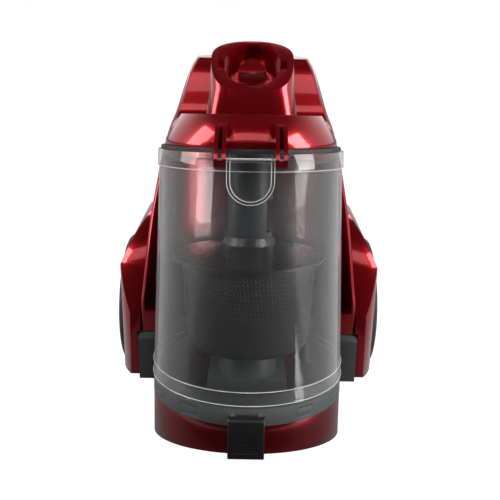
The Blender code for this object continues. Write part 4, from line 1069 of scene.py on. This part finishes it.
def lights():
    """Tall softboxes on both sides, small ones for the shoulders, one in front and one behind."""
    softbox("key_right", (1.25, -0.55, 0.62), (0, 0, 0.18), 0.62, 1.20, 26)
    softbox("key_left", (-1.30, -0.30, 0.75), (0, 0, 0.18), 0.62, 1.2, 15)
    softbox("shoulder_right", (0.78, -0.90, 1.25), (0, 0, 0.2), 0.30, 0.45, 4)
    softbox("shoulder_left", (-0.78, -0.90, 1.25), (0, 0, 0.2), 0.34, 0.45, 5)
    softbox("front_top", (0.0, -1.05, 1.38), (0, 0, 0.28), 1.15, 0.34, 2.4)
    softbox("behind", (0.0, 1.10, 1.45), (0, 0.02, 0.2), 1.4, 0.7, 12)


def surround():
    """A white surround, which reflections see bright behind and dim in front and above."""
    world = bpy.data.worlds.new("surround")
    world.use_nodes = True
    tree = world.node_tree
    dim, white = tree.nodes["Background"], tree.nodes.new("ShaderNodeBackground")
    dim.inputs["Color"].default_value = (1, 1, 1, 1)
    way, split = tree.nodes.new("ShaderNodeTexCoord"), tree.nodes.new("ShaderNodeSeparateXYZ")
    tree.links.new(way.outputs["Generated"], split.inputs[0])
    behind, low, both = (tree.nodes.new(kind) for kind in ("ShaderNodeMapRange", "ShaderNodeMapRange",
            "ShaderNodeMath"))
    for node, numbers in ((behind, (-0.50, 0.05, 0.030, 0.95)), (low, (0.40, 0.80, 1.0, 0.06))):
        for socket, number in zip(node.inputs[1:5], numbers):
            socket.default_value = number
    tree.links.new(split.outputs[1], behind.inputs[0])
    tree.links.new(split.outputs[2], low.inputs[0])
    both.operation = "MULTIPLY"
    tree.links.new(behind.outputs[0], both.inputs[0])
    tree.links.new(low.outputs[0], both.inputs[1])
    tree.links.new(both.outputs[0], dim.inputs["Strength"])
    white.inputs["Color"].default_value = (1, 1, 1, 1)
    white.inputs["Strength"].default_value = 1.0
    path, mix = tree.nodes.new("ShaderNodeLightPath"), tree.nodes.new("ShaderNodeMixShader")
    tree.links.new(path.outputs["Is Camera Ray"], mix.inputs[0])
    tree.links.new(dim.outputs[0], mix.inputs[1])
    tree.links.new(white.outputs[0], mix.inputs[2])
    tree.links.new(mix.outputs[0], tree.nodes["World Output"].inputs["Surface"])
    bpy.context.scene.world = world
    bpy.context.scene.view_settings.view_transform = "Standard"


def camera():
    """A slightly raised view of the front, rolled by one degree."""
    lens = bpy.data.cameras.new("camera")
    lens.lens = 45.66
    lens.sensor_width = 36
    lens.shift_y = -0.086
    lens.clip_start = 0.01
    obj = bpy.data.objects.new("camera", lens)
    obj.matrix_world = (Matrix.Translation((0, -0.5464, 0.3645)) @ Matrix.Rotation(math.radians(72), 4,
            "X") @ Matrix.Rotation(math.radians(1.02), 4, "Z"))
    bpy.context.scene.collection.objects.link(obj)
    bpy.context.scene.camera = obj


carried_over()
main_body_shell()
lower_chassis()
for hand in (-1, 1):
    fender(hand)
    rear_wheel(hand)
    caster_roller(hand)
carry_handle()
dial()
buttons()
bin_cylinder()
base_ring()
shroud_parts()
bin_edge_highlights()
bin_lid()
hose_port()
bottom_cover()
front_latch()
pale_floor()
lights()
surround()
camera()
